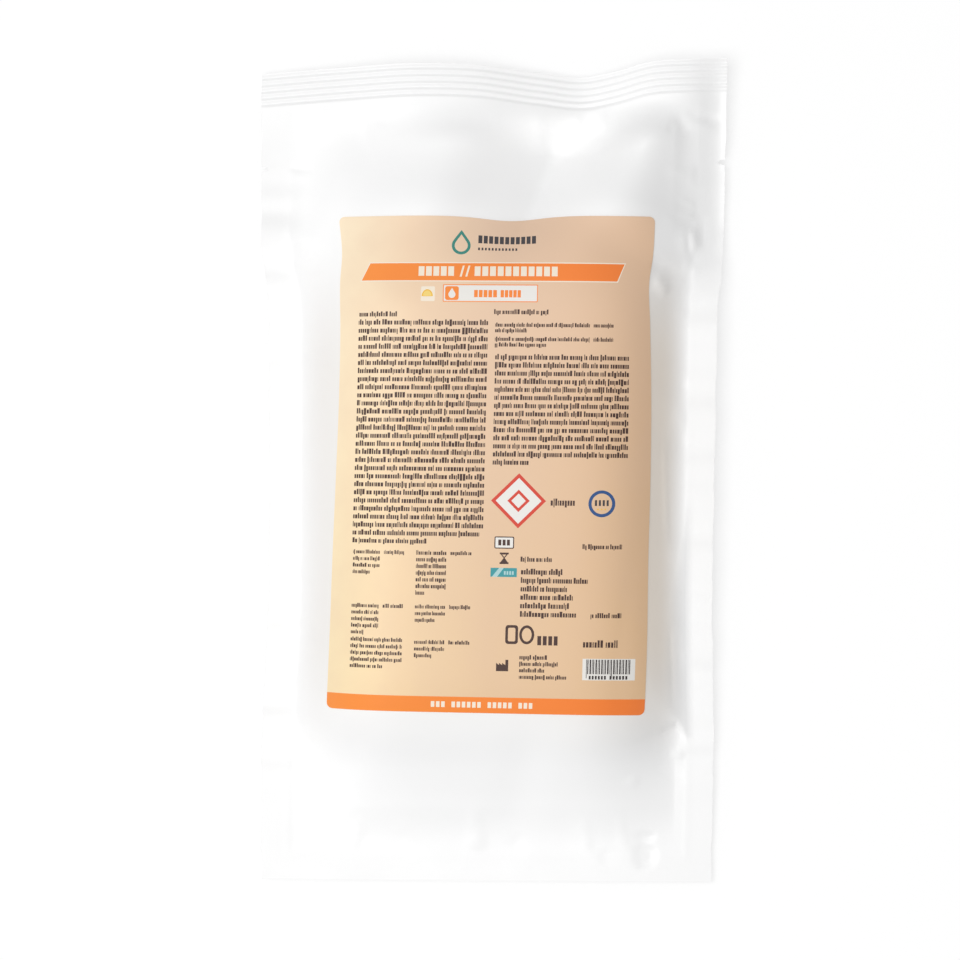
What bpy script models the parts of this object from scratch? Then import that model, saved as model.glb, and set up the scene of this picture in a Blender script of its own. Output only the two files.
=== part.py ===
"""Sealed wet wipes pack, lying on its back with its label facing up.

A flat film pouch is sealed down both sides, across the bottom and across the ribbed mouth.
A soft roll of wipes inside makes the bulge. One adhesive label covers the front of the bulge.
Metres. X runs across the pack, Y from the bottom seal to the mouth seal, Z up from the table.
"""
import bpy
import bmesh
import numpy as np
from mathutils import Vector
from mathutils.geometry import delaunay_2d_cdt

MM = 0.001

# Pouch outline
POUCH_WIDTH = 192.0 * MM
POUCH_LENGTH = 339.0 * MM
SIDE_LEAN = 6.6 * MM            # how far the lower right corner lies inside the upper one
WAIST_LEFT = 3.5 * MM           # how far the bulge draws the left edge in
WAIST_RIGHT = 2.2 * MM
BOTTOM_DROP = 1.5 * MM          # the bottom edge runs down this much from left to right

# Seals
SIDE_SEAL = 11.0 * MM
SIDE_FLAT_BELOW_ROLL = 5.0 * MM # flat film beside the side seals, below the roll
BOTTOM_SEAL = 10.0 * MM
MOUTH_SEAL = 14.0 * MM
SEAL_THICKNESS = 0.5 * MM
RIB_COUNT = 5
RIB_PITCH = 2.7 * MM
RIB_DEPTH = 0.5 * MM
NOTCH_DEPTH = 2.9 * MM
NOTCH_HEIGHT = 2.2 * MM
NOTCH_BELOW_SEAL = 31.0 * MM

# Roll of wipes inside, as the film shows it
ROLL_LENGTH = 191.0 * MM
ROLL_CENTRE_Y = -10.5 * MM
PACK_THICKNESS = 42.0 * MM
SEAM_HEIGHT = 9.5 * MM          # side seams above the table beside the roll
SEAM_END_HEIGHT = 3.0 * MM      # seams above the table at the bottom
END_SLOPE = 54.0 * MM           # length over which the film comes down from the roll's ends
BACK_ROUND = 24.0 * MM          # width over which the back film rises to a seam

# Form of the film across the pack: share = (1 - t^power)^tuck, with t from 0 at the middle to 1 at the seam
POWER_BESIDE_ROLL = 5.9
POWER_AT_ENDS = 3.0
TUCK_BESIDE_ROLL = 2.5
TUCK_AT_ENDS = 1.3
CREST_TILT = 0.15               # share by which the bulge is higher on its left and lower on its right

# Mouth edge: share of the half width, drop below the pouch's full length, height above the table
MOUTH_EDGE = (
    (-1.00, 6.3 * MM, 3.5 * MM),
    (-0.65, 3.7 * MM, 6.0 * MM),
    (-0.32, 2.0 * MM, 9.5 * MM),
    (-0.08, 2.6 * MM, 9.0 * MM),
    (0.19, 5.8 * MM, 5.0 * MM),
    (0.40, 7.4 * MM, 3.0 * MM),
    (0.52, 5.2 * MM, 5.0 * MM),
    (0.67, 1.5 * MM, 9.5 * MM),
    (0.84, 0.5 * MM, 11.0 * MM),
    (1.00, 0.0 * MM, 11.5 * MM),
)

# Folds that run down from the mouth, leaning left: place at the mouth, height, half width
FOLD_SLANT = 0.43
MOUTH_FOLDS = (
    (-8.0 * MM, 6.5 * MM, 20.0 * MM),
    (64.0 * MM, 6.0 * MM, 14.0 * MM),
)

# Valley between those folds
MOUTH_VALLEY = 36.0 * MM
VALLEY_DEPTH = 10.2 * MM
VALLEY_REACH_LEFT = 18.0 * MM
VALLEY_REACH_RIGHT = 20.0 * MM
VALLEY_ROUND = 3.0 * MM

# Creases: start, end, half width, height
CREASES = (
    ((67.0 * MM, 148.0 * MM), (57.0 * MM, 98.0 * MM), 14.0 * MM, 6.0 * MM),
    ((74.0 * MM, 144.5 * MM), (88.0 * MM, 143.5 * MM), 3.5 * MM, -2.0 * MM),
    ((79.0 * MM, 98.0 * MM), (82.0 * MM, 86.0 * MM), 3.5 * MM, 1.6 * MM),
    ((-74.0 * MM, 92.0 * MM), (-58.0 * MM, 128.0 * MM), 6.0 * MM, 0.8 * MM),
    ((-56.0 * MM, -106.0 * MM), (-70.0 * MM, -136.0 * MM), 8.0 * MM, -1.2 * MM),
    ((14.0 * MM, -106.0 * MM), (8.0 * MM, -146.0 * MM), 10.0 * MM, -1.0 * MM),
)

# Soft hollow along the upper right rim
RIM_FOLD = ((93.0 * MM, 166.0 * MM), (93.0 * MM, 84.0 * MM), 9.0 * MM, -4.6 * MM)

# Loose pleat of film that lies along the right seam and ends in a slanting tip
PLEAT_TOP_Y = -5.0 * MM
PLEAT_FULL_Y = -85.0 * MM
PLEAT_TIP_Y = -111.0 * MM
PLEAT_TIP_SLANT = 1.4
PLEAT_TIP_ROUND = 3.0 * MM
PLEAT_TIP_WIDTH = 4.5 * MM
PLEAT_TIP_SOFT = 1.8
PLEAT_FROM_SEAL = 9.5 * MM
PLEAT_OVER_SEAL = 0.5 * MM
PLEAT_LEFT_WIDTH = 20.0 * MM
PLEAT_HEIGHT = 2.9 * MM

# Label
LABEL_WIDTH = 128.2 * MM        # across the pack as it lies; a little more along the curved film
LABEL_LENGTH = 202.0 * MM
LABEL_CENTRE = (-1.1 * MM, 2.8 * MM)
LABEL_LEAN = 4.9 * MM           # its top lies this much further right than its bottom
LABEL_BOTTOM_DROP = 3.0 * MM    # its bottom edge runs down this much from left to right
LABEL_DIP = 2.0 * MM            # its top edge dips this much where the film's fold runs under it
LABEL_DIP_X = 6.5 * MM
LABEL_DIP_HALF_WIDTH = 15.0 * MM
LABEL_THICKNESS = 0.25 * MM
LABEL_CORNER = 2.4 * MM
TOUCH_GAP = 0.3 * MM

# Print on the label, in shares of its width and length from the lower left corner
FOOTER_TOP = 0.032
TITLE_BAND = ((0.072, 0.867), (0.884, 0.867), (0.908, 0.902), (0.099, 0.902))
WHITE_FIELDS = (
    (0.263, 0.825, 0.307, 0.855),
    (0.332, 0.824, 0.632, 0.859),
    (0.802, 0.070, 0.965, 0.113),
)
TEXT_FIELDS = (
    (0.340, 0.920, 0.630, 0.970),
    (0.064, 0.337, 0.477, 0.805),
    (0.500, 0.737, 0.870, 0.808),
    (0.502, 0.503, 0.927, 0.710),
    (0.688, 0.415, 0.765, 0.433),
    (0.792, 0.330, 0.916, 0.343),
    (0.598, 0.193, 0.918, 0.317),
    (0.554, 0.137, 0.910, 0.177),
    (0.528, 0.070, 0.750, 0.117),
    (0.068, 0.265, 0.230, 0.322),
    (0.268, 0.228, 0.442, 0.322),
    (0.068, 0.075, 0.230, 0.214),
    (0.268, 0.130, 0.442, 0.214),
)
ACCENT_FIELD = (0.504, 0.274, 0.587, 0.292)
DIAMOND_CENTRE = (0.587, 0.427)
DIAMOND_REACH = 11.3 * MM
DIAMOND_BORDER = 2.0 * MM
RING_CENTRE = (0.850, 0.423)
RING_RADIUS = 5.5 * MM
RING_BORDER = 1.4 * MM
RING_SIDES = 14

# Mesh density, in cells
CELLS_SIDE_SEAL = 2
CELLS_LEFT_FLANK = 6
CELLS_LABEL_ACROSS = 18
CELLS_RIGHT_FLANK = 8
CELLS_BOTTOM_SEAL = 2
CELLS_BOTTOM_END = 12
CELLS_LABEL_ALONG = 26
CELLS_MOUTH_END = 14
CORNER_CELLS = 3

# Colours
FILM_WHITE = (0.86, 0.86, 0.85)
LABEL_PEACH = (0.83, 0.58, 0.38)
LABEL_ORANGE = (0.86, 0.25, 0.07)
PRINT_WHITE = (0.87, 0.85, 0.82)
PRINT_BROWN = (0.40, 0.26, 0.18)
PRINT_RED = (0.66, 0.06, 0.04)
PRINT_BLUE = (0.10, 0.20, 0.38)
PRINT_TEAL = (0.06, 0.34, 0.36)


def ramp(value, low, high):
    """Smooth step from 0 at low to 1 at high."""
    share = np.clip((value - low) / (high - low), 0.0, 1.0)
    return share * share * (3.0 - 2.0 * share)


def smooth_curve(points, at):
    """Cubic curve through a few chosen points."""
    xs = np.array([point[0] for point in points])
    ys = np.array([point[1] for point in points])
    slopes = np.gradient(ys, xs)
    at = np.clip(at, xs[0], xs[-1])
    low = np.clip(np.searchsorted(xs, at) - 1, 0, len(xs) - 2)
    span = xs[low + 1] - xs[low]
    s = (at - xs[low]) / span
    start = ys[low] * (1.0 + 2.0 * s) * (1.0 - s) ** 2 + slopes[low] * span * s * (1.0 - s) ** 2
    end = ys[low + 1] * s * s * (3.0 - 2.0 * s) + slopes[low + 1] * span * s * s * (s - 1.0)
    return start + end


# Plan of the pouch and its label

def roll_ends():
    """Y of the roll's lower and upper end."""
    return ROLL_CENTRE_Y - ROLL_LENGTH / 2.0, ROLL_CENTRE_Y + ROLL_LENGTH / 2.0


def waist(y):
    """Share of the drawing in of the side edges, largest beside the upper half of the roll."""
    low, high = roll_ends()
    above_low = ramp(y, low - 0.1 * ROLL_LENGTH, low + 0.35 * ROLL_LENGTH)
    return above_low * (1.0 - ramp(y, high - 0.12 * ROLL_LENGTH, high + 0.06 * ROLL_LENGTH))


def left_edge(y):
    """X of the pouch's left edge."""
    return -POUCH_WIDTH / 2.0 + WAIST_LEFT * waist(y)


def right_edge(y):
    """X of the pouch's right edge."""
    lean = SIDE_LEAN * (0.5 - y / POUCH_LENGTH)
    return POUCH_WIDTH / 2.0 - lean - WAIST_RIGHT * waist(y)


def label_side(y, side):
    """X of the label's left (-1) or right (+1) edge line, drawn on over the whole pouch."""
    lean = LABEL_LEAN * (y - LABEL_CENTRE[1]) / LABEL_LENGTH
    return LABEL_CENTRE[0] + lean + side * LABEL_WIDTH / 2.0


def mouth_edge(x):
    """Y of the wavy mouth edge."""
    points = [(share, drop) for share, drop, height in MOUTH_EDGE]
    return POUCH_LENGTH / 2.0 - smooth_curve(points, x / (POUCH_WIDTH / 2.0))


def row_lines(x):
    """Y of the lines across the pouch that its parts start and end on, bottom to top."""
    bottom = -POUCH_LENGTH / 2.0 + BOTTOM_DROP * (0.5 - x / POUCH_WIDTH)
    label_drop = LABEL_BOTTOM_DROP * (x - LABEL_CENTRE[0]) / LABEL_WIDTH
    label_low = LABEL_CENTRE[1] - LABEL_LENGTH / 2.0 - label_drop
    label_dip = LABEL_DIP * np.exp(-((x - LABEL_DIP_X) / LABEL_DIP_HALF_WIDTH) ** 2)
    label_high = LABEL_CENTRE[1] + LABEL_LENGTH / 2.0 - label_dip
    mouth = mouth_edge(x)
    return bottom, bottom + BOTTOM_SEAL, label_low, label_high, mouth - MOUTH_SEAL, mouth


# Heights of the film over the table

def mouth_height(x):
    """Height of the mouth edge."""
    points = [(share, height) for share, drop, height in MOUTH_EDGE]
    return smooth_curve(points, x / (POUCH_WIDTH / 2.0))


def seam_height(y):
    """Height of the side seams: lifted beside the roll, low at the bottom."""
    low, high = roll_ends()
    beside = ramp(y, low - 0.3 * ROLL_LENGTH, low + 0.45 * ROLL_LENGTH)
    beside = beside * (1.0 - 0.45 * ramp(y, high - 0.1 * ROLL_LENGTH, high + 0.3 * ROLL_LENGTH))
    return SEAM_END_HEIGHT + (SEAM_HEIGHT - SEAM_END_HEIGHT) * beside


def crest_height(y):
    """Height of the film along the middle of the pack."""
    low, high = roll_ends()
    rise = PACK_THICKNESS - SEAM_END_HEIGHT
    points = (
        (low - END_SLOPE, 0.02),
        (low - 0.63 * END_SLOPE, 0.16),
        (low - 0.30 * END_SLOPE, 0.44),
        (low, 0.75),
        (low + 0.28 * END_SLOPE, 0.915),
        (low + 0.85 * END_SLOPE, 0.985),
        (ROLL_CENTRE_Y, 1.0),
        (high - 0.65 * END_SLOPE, 0.985),
        (high - 0.22 * END_SLOPE, 0.93),
        (high + 0.05 * END_SLOPE, 0.80),
        (high + 0.37 * END_SLOPE, 0.585),
        (high + 0.80 * END_SLOPE, 0.36),
        (high + 1.35 * END_SLOPE, 0.18),
    )
    return SEAM_END_HEIGHT + rise * smooth_curve(points, y)


def beside_roll(y):
    """1 beside the roll, 0 past its ends."""
    low, high = roll_ends()
    above_low = ramp(y, low - 0.16 * ROLL_LENGTH, low + 0.05 * ROLL_LENGTH)
    return above_low * (1.0 - ramp(y, high - 0.13 * ROLL_LENGTH, high + 0.09 * ROLL_LENGTH))


def side_flat(y):
    """Width of the flat film along a side: the seal, and more below the roll."""
    low = roll_ends()[0]
    above_low = ramp(y, low - 0.08 * ROLL_LENGTH, low + 0.06 * ROLL_LENGTH)
    return SIDE_SEAL + SIDE_FLAT_BELOW_ROLL * (1.0 - above_low)


def across_share(x, y):
    """Share of the crest's height that the film keeps across the pack."""
    left = left_edge(y) + side_flat(y)
    right = right_edge(y) - side_flat(y)
    t = np.clip(np.abs(x - (left + right) / 2.0) / ((right - left) / 2.0), 0.0, 1.0)
    near = beside_roll(y)
    power = POWER_AT_ENDS + (POWER_BESIDE_ROLL - POWER_AT_ENDS) * near
    tuck = TUCK_AT_ENDS + (TUCK_BESIDE_ROLL - TUCK_AT_ENDS) * near
    lean = 1.0 - CREST_TILT * near * t * np.sign(x - (left + right) / 2.0)
    return lean * (1.0 - t ** power) ** tuck


def crease(x, y, start, end, half_width, height):
    """Soft ridge (or groove) along a line, fading out at both ends."""
    run = np.array(end) - np.array(start)
    length = np.hypot(run[0], run[1])
    along = ((x - start[0]) * run[0] + (y - start[1]) * run[1]) / length ** 2
    off = ((x - start[0]) * run[1] - (y - start[1]) * run[0]) / length
    window = ramp(along, -0.25, 0.25) * (1.0 - ramp(along, 0.75, 1.25))
    return height * window * np.exp(-(off / half_width) ** 2)


def mouth_folds(x, y):
    """Slanting folds between the roll's upper end and the mouth seal."""
    high = roll_ends()[1]
    seal = POUCH_LENGTH / 2.0 - MOUTH_SEAL
    slid = x + FOLD_SLANT * (seal - y)
    fade = ramp(y, high - 0.15 * END_SLOPE, high + 0.60 * END_SLOPE)
    fade = fade * (1.0 - 0.75 * ramp(y, seal - 0.35 * END_SLOPE, seal))
    height = 0.0 * x
    for place, rise, half_width in MOUTH_FOLDS:
        height = height + rise * np.exp(-((slid - place) / half_width) ** 2)
    off = slid - MOUTH_VALLEY
    reach = np.where(off < 0.0, VALLEY_REACH_LEFT, VALLEY_REACH_RIGHT)
    height = height - VALLEY_DEPTH * np.exp((VALLEY_ROUND - np.hypot(off, VALLEY_ROUND)) / reach)
    return height * fade


def pleat(x, y):
    """Loose pleat along the right seal, which grows downwards and ends in a slanting tip."""
    grown = 1.0 - ramp(y, PLEAT_FULL_Y, PLEAT_TOP_Y)
    seal = right_edge(y) - SIDE_SEAL
    crest = seal - PLEAT_FROM_SEAL * grown
    width = np.where(x < crest, PLEAT_LEFT_WIDTH, seal + PLEAT_OVER_SEAL - crest)
    tip = PLEAT_TIP_Y + PLEAT_TIP_ROUND + PLEAT_TIP_SLANT * np.clip(seal - x, 0.0, None)
    soft = PLEAT_TIP_SOFT * np.clip(seal - PLEAT_TIP_WIDTH - x, 0.0, None)
    below = np.clip((tip - y) / (PLEAT_TIP_ROUND + soft), 0.0, 1.0)
    reach = np.clip(np.abs(x - crest) / width, 0.0, 1.0)
    side = (1.0 - reach ** 2) ** np.where(x < crest, 1.5, 1.0)
    return PLEAT_HEIGHT * grown * side * (1.0 - below ** 2)


def inside_seals(x, y):
    """0 on the side and end seals, 1 well inside them."""
    side = np.minimum(x - left_edge(y) - SIDE_SEAL, right_edge(y) - SIDE_SEAL - x)
    bottom, bottom_inner, label_low, label_high, mouth_inner, mouth = row_lines(x)
    end = np.minimum(y - bottom_inner, mouth_inner - y)
    return ramp(side, 0.0, SIDE_SEAL) * ramp(end, 0.0, 1.4 * MOUTH_SEAL)


def seal_height(x, y):
    """Height of the sealed rim, drawn on over the whole pouch."""
    high = roll_ends()[1]
    mouth = ramp(y, high + 0.1 * END_SLOPE, POUCH_LENGTH / 2.0 - MOUTH_SEAL)
    return seam_height(y) * (1.0 - mouth) + mouth_height(x) * mouth


def film_top(x, y):
    """Height of the front film."""
    rim = seal_height(x, y)
    share = across_share(x, y)
    seal = POUCH_LENGTH / 2.0 - MOUTH_SEAL
    share = share * (1.0 - ramp(y, seal - 0.9 * END_SLOPE, seal))
    bottom_inner = row_lines(x)[1]
    share = share * ramp(y, bottom_inner, bottom_inner + 0.4 * END_SLOPE)
    height = rim + (crest_height(y) - rim) * share
    loose = mouth_folds(x, y)
    for start, end, half_width, rise in CREASES:
        loose = loose + crease(x, y, start, end, half_width, rise)
    return height + loose * inside_seals(x, y) + pleat(x, y) + crease(x, y, *RIM_FOLD)


def film_back(x, y):
    """Height of the back film: flat on the table under the roll, rising to the rim."""
    side = np.minimum(x - left_edge(y) - SIDE_SEAL, right_edge(y) - SIDE_SEAL - x)
    lines = row_lines(x)
    end = np.minimum(y - lines[1], lines[4] - y)
    near = 1.0 - np.clip(np.minimum(side, end) / BACK_ROUND, 0.0, 1.0)
    return (seal_height(x, y) - SEAL_THICKNESS) * near ** 1.8


def rib_wave(below_edge):
    """Height change of the ribbed mouth seal at a distance below the mouth edge."""
    first = (MOUTH_SEAL - RIB_COUNT * RIB_PITCH) / 2.0
    inside = (below_edge > first) & (below_edge < first + RIB_COUNT * RIB_PITCH)
    turn = (below_edge - first) / RIB_PITCH * 2.0 * np.pi
    return np.where(inside, -0.5 * RIB_DEPTH * (1.0 - np.cos(turn)), 0.0)


# Grid of the pouch

def eased(cells, ease):
    """Shares from 0 to 1, closer together near both ends."""
    even = np.linspace(0.0, 1.0, cells + 1)
    return (1.0 - ease) * even + ease * (1.0 - np.cos(np.pi * even)) / 2.0


def join_stations(zones):
    """One list of (zone, share) from the shares of each zone in turn."""
    stations = [(0, 0.0)]
    for zone, shares in enumerate(zones):
        stations += [(zone, share) for share in shares[1:]]
    return stations


def column_stations():
    """Columns from the left edge to the right edge."""
    flat = eased(CELLS_SIDE_SEAL, 0.0)
    return join_stations((
        flat,
        eased(CELLS_LEFT_FLANK, 0.0),
        eased(CELLS_LABEL_ACROSS, 0.6),
        eased(CELLS_RIGHT_FLANK, 0.0),
        flat,
    ))


def notch_shares():
    """Shares of the mouth end at the tear notch's upper, middle and lower line."""
    length = POUCH_LENGTH / 2.0 - MOUTH_SEAL - (LABEL_CENTRE[1] + LABEL_LENGTH / 2.0)
    middle = 1.0 - NOTCH_BELOW_SEAL / length
    half = NOTCH_HEIGHT / 2.0 / length
    return middle - half, middle, middle + half


def row_stations():
    """Rows from the bottom edge to the mouth edge."""
    low, middle, high = notch_shares()
    plain = eased(CELLS_MOUTH_END, 0.0)
    clear = 0.5 / CELLS_MOUTH_END
    kept = [share for share in plain if share < low - clear or share > high + clear]
    mouth_end = np.array(sorted(kept + [low, middle, high]))
    first = (MOUTH_SEAL - RIB_COUNT * RIB_PITCH) / 2.0
    ribs = [first + RIB_PITCH * step / 2.0 for step in range(2 * RIB_COUNT + 1)]
    seal = np.array([0.0] + [1.0 - below / MOUTH_SEAL for below in reversed(ribs)] + [1.0])
    return join_stations((
        eased(CELLS_BOTTOM_SEAL, 0.0),
        eased(CELLS_BOTTOM_END, 0.0),
        eased(CELLS_LABEL_ALONG, 0.3),
        mouth_end,
        seal,
    ))


def notch_cut(row):
    """How far the tear notch draws the side edge in on one row."""
    return NOTCH_DEPTH if row[0] == 3 and abs(row[1] - notch_shares()[1]) < 1e-9 else 0.0


def plan_point(column, row):
    """Plan position of a grid point."""
    middle_lines = row_lines(np.array(0.0))
    y = middle_lines[row[0]] + row[1] * (middle_lines[row[0] + 1] - middle_lines[row[0]])
    for _ in range(2):
        left = left_edge(y) + notch_cut(row)
        right = right_edge(y) - notch_cut(row)
        lines = (
            left,
            left_edge(y) + SIDE_SEAL,
            label_side(y, -1.0),
            label_side(y, 1.0),
            right_edge(y) - SIDE_SEAL,
            right,
        )
        x = lines[column[0]] + column[1] * (lines[column[0] + 1] - lines[column[0]])
        across = row_lines(x)
        y = across[row[0]] + row[1] * (across[row[0] + 1] - across[row[0]])
    return float(x), float(y)


def pouch_grid():
    """Plan, front height and back height at each row and column."""
    columns = column_stations()
    rows = row_stations()
    plan = np.array([[plan_point(column, row) for column in columns] for row in rows])
    x = plan[:, :, 0]
    y = plan[:, :, 1]
    rib = rib_wave(mouth_edge(x) - y)
    front = film_top(x, y) + rib
    back = np.minimum(film_back(x, y) + rib, front - SEAL_THICKNESS)
    return columns, rows, x, y, front, back


# Materials and objects

def material(name, colour, roughness):
    """Principled material of one colour."""
    made = bpy.data.materials.new(name)
    made.use_nodes = True
    shader = made.node_tree.nodes["Principled BSDF"]
    shader.inputs["Base Color"].default_value = (*colour, 1.0)
    shader.inputs["Roughness"].default_value = roughness
    shader.inputs["Metallic"].default_value = 0.0
    return made


def add_object(name, mesh_data, materials):
    """Object from a bmesh, shaded smooth, with its materials."""
    mesh = bpy.data.meshes.new(name)
    mesh_data.to_mesh(mesh)
    mesh_data.free()
    mesh.shade_smooth()
    made = bpy.data.objects.new(name, mesh)
    bpy.context.scene.collection.objects.link(made)
    for item in materials:
        mesh.materials.append(item)
    return made


def add_pouch(x, y, front, back):
    """Closed solid of the sealed pouch."""
    mesh_data = bmesh.new()
    row_count, column_count = x.shape
    sheets = []
    for height in (front, back):
        sheets.append([
            [mesh_data.verts.new((x[r, c], y[r, c], height[r, c])) for c in range(column_count)]
            for r in range(row_count)
        ])
    top, under = sheets
    for r in range(row_count - 1):
        for c in range(column_count - 1):
            mesh_data.faces.new((top[r][c], top[r][c + 1], top[r + 1][c + 1]))
            mesh_data.faces.new((top[r][c], top[r + 1][c + 1], top[r + 1][c]))
            mesh_data.faces.new((under[r][c], under[r + 1][c + 1], under[r][c + 1]))
            mesh_data.faces.new((under[r][c], under[r + 1][c], under[r + 1][c + 1]))
    rim = [(0, c) for c in range(column_count)]
    rim += [(r, column_count - 1) for r in range(1, row_count)]
    rim += [(row_count - 1, c) for c in range(column_count - 2, -1, -1)]
    rim += [(r, 0) for r in range(row_count - 2, 0, -1)]
    for (r0, c0), (r1, c1) in zip(rim, rim[1:] + rim[:1]):
        mesh_data.faces.new((under[r0][c0], under[r1][c1], top[r1][c1], top[r0][c0]))
    on_table = [face for face in mesh_data.faces if all(vert.co.z < 1e-7 for vert in face.verts)]
    bmesh.ops.dissolve_faces(mesh_data, faces=on_table, use_verts=False)
    bmesh.ops.triangulate(mesh_data, faces=mesh_data.faces[:])
    return add_object("sealed_pouch", mesh_data, [material("white_film", FILM_WHITE, 0.42)])


# Label, drawn flat in shares of its width and length, then laid on the film's grid

def rectangle(low_u, low_v, high_u, high_v):
    """Outline of a rectangle."""
    return [(low_u, low_v), (high_u, low_v), (high_u, high_v), (low_u, high_v)]


def round_shape(centre, radius, sides, turn):
    """Outline of a regular shape whose radius is a real size."""
    points = []
    for side in range(sides):
        angle = turn + 2.0 * np.pi * side / sides
        u = centre[0] + radius / LABEL_WIDTH * np.cos(angle)
        v = centre[1] + radius / LABEL_LENGTH * np.sin(angle)
        points.append((u, v))
    return points


def label_outline():
    """Rectangle with round corners."""
    corner_u = LABEL_CORNER / LABEL_WIDTH
    corner_v = LABEL_CORNER / LABEL_LENGTH
    centres = (
        (1.0 - corner_u, 1.0 - corner_v),
        (corner_u, 1.0 - corner_v),
        (corner_u, corner_v),
        (1.0 - corner_u, corner_v),
    )
    points = []
    for quarter, (centre_u, centre_v) in enumerate(centres):
        for step in range(CORNER_CELLS + 1):
            angle = np.pi / 2.0 * (quarter + step / CORNER_CELLS)
            points.append((centre_u + corner_u * np.cos(angle), centre_v + corner_v * np.sin(angle)))
    return points


def label_print():
    """Outlines of the label's colour fields in paint order, each with its colour's name."""
    fields = [("peach", label_outline())]
    fields.append(("orange", rectangle(0.0, 0.0, 1.0, FOOTER_TOP)))
    fields.append(("orange", list(TITLE_BAND)))
    fields += [("white", rectangle(*field)) for field in WHITE_FIELDS]
    fields += [("brown", rectangle(*field)) for field in TEXT_FIELDS]
    fields.append(("teal", rectangle(*ACCENT_FIELD)))
    fields.append(("red", round_shape(DIAMOND_CENTRE, DIAMOND_REACH, 4, 0.0)))
    fields.append(("white", round_shape(DIAMOND_CENTRE, DIAMOND_REACH - DIAMOND_BORDER, 4, 0.0)))
    fields.append(("red", round_shape(DIAMOND_CENTRE, DIAMOND_REACH / 2.5, 4, 0.0)))
    fields.append(("blue", round_shape(RING_CENTRE, RING_RADIUS, RING_SIDES, 0.0)))
    fields.append(("peach", round_shape(RING_CENTRE, RING_RADIUS - RING_BORDER, RING_SIDES, 0.0)))
    return fields


def flat_label(across, along):
    """Flat triangles of the label, each with its field, cut along the edges of the film's own triangles."""
    fields = label_print()
    points = []
    edges = []
    faces = []
    for _, outline in fields:
        faces.append(list(range(len(points), len(points) + len(outline))))
        points += [Vector(point) for point in outline]
    for u in across[1:-1]:
        edges.append((len(points), len(points) + 1))
        points += [Vector((u, 0.0)), Vector((u, 1.0))]
    for v in along[1:-1]:
        edges.append((len(points), len(points) + 1))
        points += [Vector((0.0, v)), Vector((1.0, v))]
    for low_u, high_u in zip(across, across[1:]):
        for low_v, high_v in zip(along, along[1:]):
            edges.append((len(points), len(points) + 1))
            points += [Vector((low_u, low_v)), Vector((high_u, high_v))]
    verts, _, triangles, _, _, origins = delaunay_2d_cdt(points, edges, faces, 0, 1e-6)
    inside = [(tri, max(owner)) for tri, owner in zip(triangles, origins) if 0 in owner]
    return verts, inside, [name for name, _ in fields]


def lay_on_film(point, across, along, patch):
    """Value at a flat label point of a patch of the film's grid, read on the film's own triangles."""
    c = int(np.clip(np.searchsorted(across, point[0]) - 1, 0, len(across) - 2))
    r = int(np.clip(np.searchsorted(along, point[1]) - 1, 0, len(along) - 2))
    u = (point[0] - across[c]) / (across[c + 1] - across[c])
    v = (point[1] - along[r]) / (along[r + 1] - along[r])
    start = patch[r, c]
    far = patch[r + 1, c + 1]
    if u > v:
        return start + u * (patch[r, c + 1] - start) + v * (far - patch[r, c + 1])
    return start + v * (patch[r + 1, c] - start) + u * (far - patch[r + 1, c])


def grid_normals(places):
    """Unit normals of a grid of points."""
    across = np.gradient(places, axis=1)
    along = np.gradient(places, axis=0)
    normal = np.cross(across, along)
    return normal / np.linalg.norm(normal, axis=2, keepdims=True)


def add_label(columns, rows, x, y, front):
    """Closed thin solid of the label, a touching gap above the film."""
    column_ids = [i for i, station in enumerate(columns) if station[0] == 2]
    row_ids = [i for i, station in enumerate(rows) if station[0] == 2]
    column_ids = [column_ids[0] - 1] + column_ids
    row_ids = [row_ids[0] - 1] + row_ids
    across = np.array([0.0] + [columns[i][1] for i in column_ids[1:]])
    along = np.array([0.0] + [rows[i][1] for i in row_ids[1:]])
    places = np.stack((x, y, front), axis=2)
    normals = grid_normals(places)
    patch = places[np.ix_(row_ids, column_ids)]
    patch_normals = normals[np.ix_(row_ids, column_ids)]
    verts, triangles, names = flat_label(across, along)
    used = sorted({corner for tri, _ in triangles for corner in tri})
    mesh_data = bmesh.new()
    lower = {}
    upper = {}
    for corner in used:
        place = lay_on_film(verts[corner], across, along, patch)
        normal = lay_on_film(verts[corner], across, along, patch_normals)
        lower[corner] = mesh_data.verts.new(place + normal * TOUCH_GAP)
        upper[corner] = mesh_data.verts.new(place + normal * (TOUCH_GAP + LABEL_THICKNESS))
    slots = ("peach", "orange", "white", "brown", "teal", "red", "blue")
    sides = {}
    for tri, owner in triangles:
        face = mesh_data.faces.new([upper[corner] for corner in tri])
        face.material_index = slots.index(names[owner])
        mesh_data.faces.new([lower[corner] for corner in reversed(tri)])
        for a, b in zip(tri, tri[1:] + tri[:1]):
            sides[(a, b)] = True
    for a, b in sides:
        if (b, a) not in sides:
            mesh_data.faces.new((lower[a], lower[b], upper[b], upper[a]))
    colours = (LABEL_PEACH, LABEL_ORANGE, PRINT_WHITE, PRINT_BROWN, PRINT_TEAL, PRINT_RED, PRINT_BLUE)
    inks = [material("label_" + name, colour, 0.5) for name, colour in zip(slots, colours)]
    return add_object("front_label", mesh_data, inks)


def main():
    """Clears the scene and builds the pack."""
    for item in list(bpy.data.objects):
        bpy.data.objects.remove(item, do_unlink=True)
    columns, rows, x, y, front, back = pouch_grid()
    add_pouch(x, y, front, back)
    add_label(columns, rows, x, y, front)


main()
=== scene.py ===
import bpy
import numpy as np
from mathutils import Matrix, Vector
from mathutils.geometry import delaunay_2d_cdt


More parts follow.
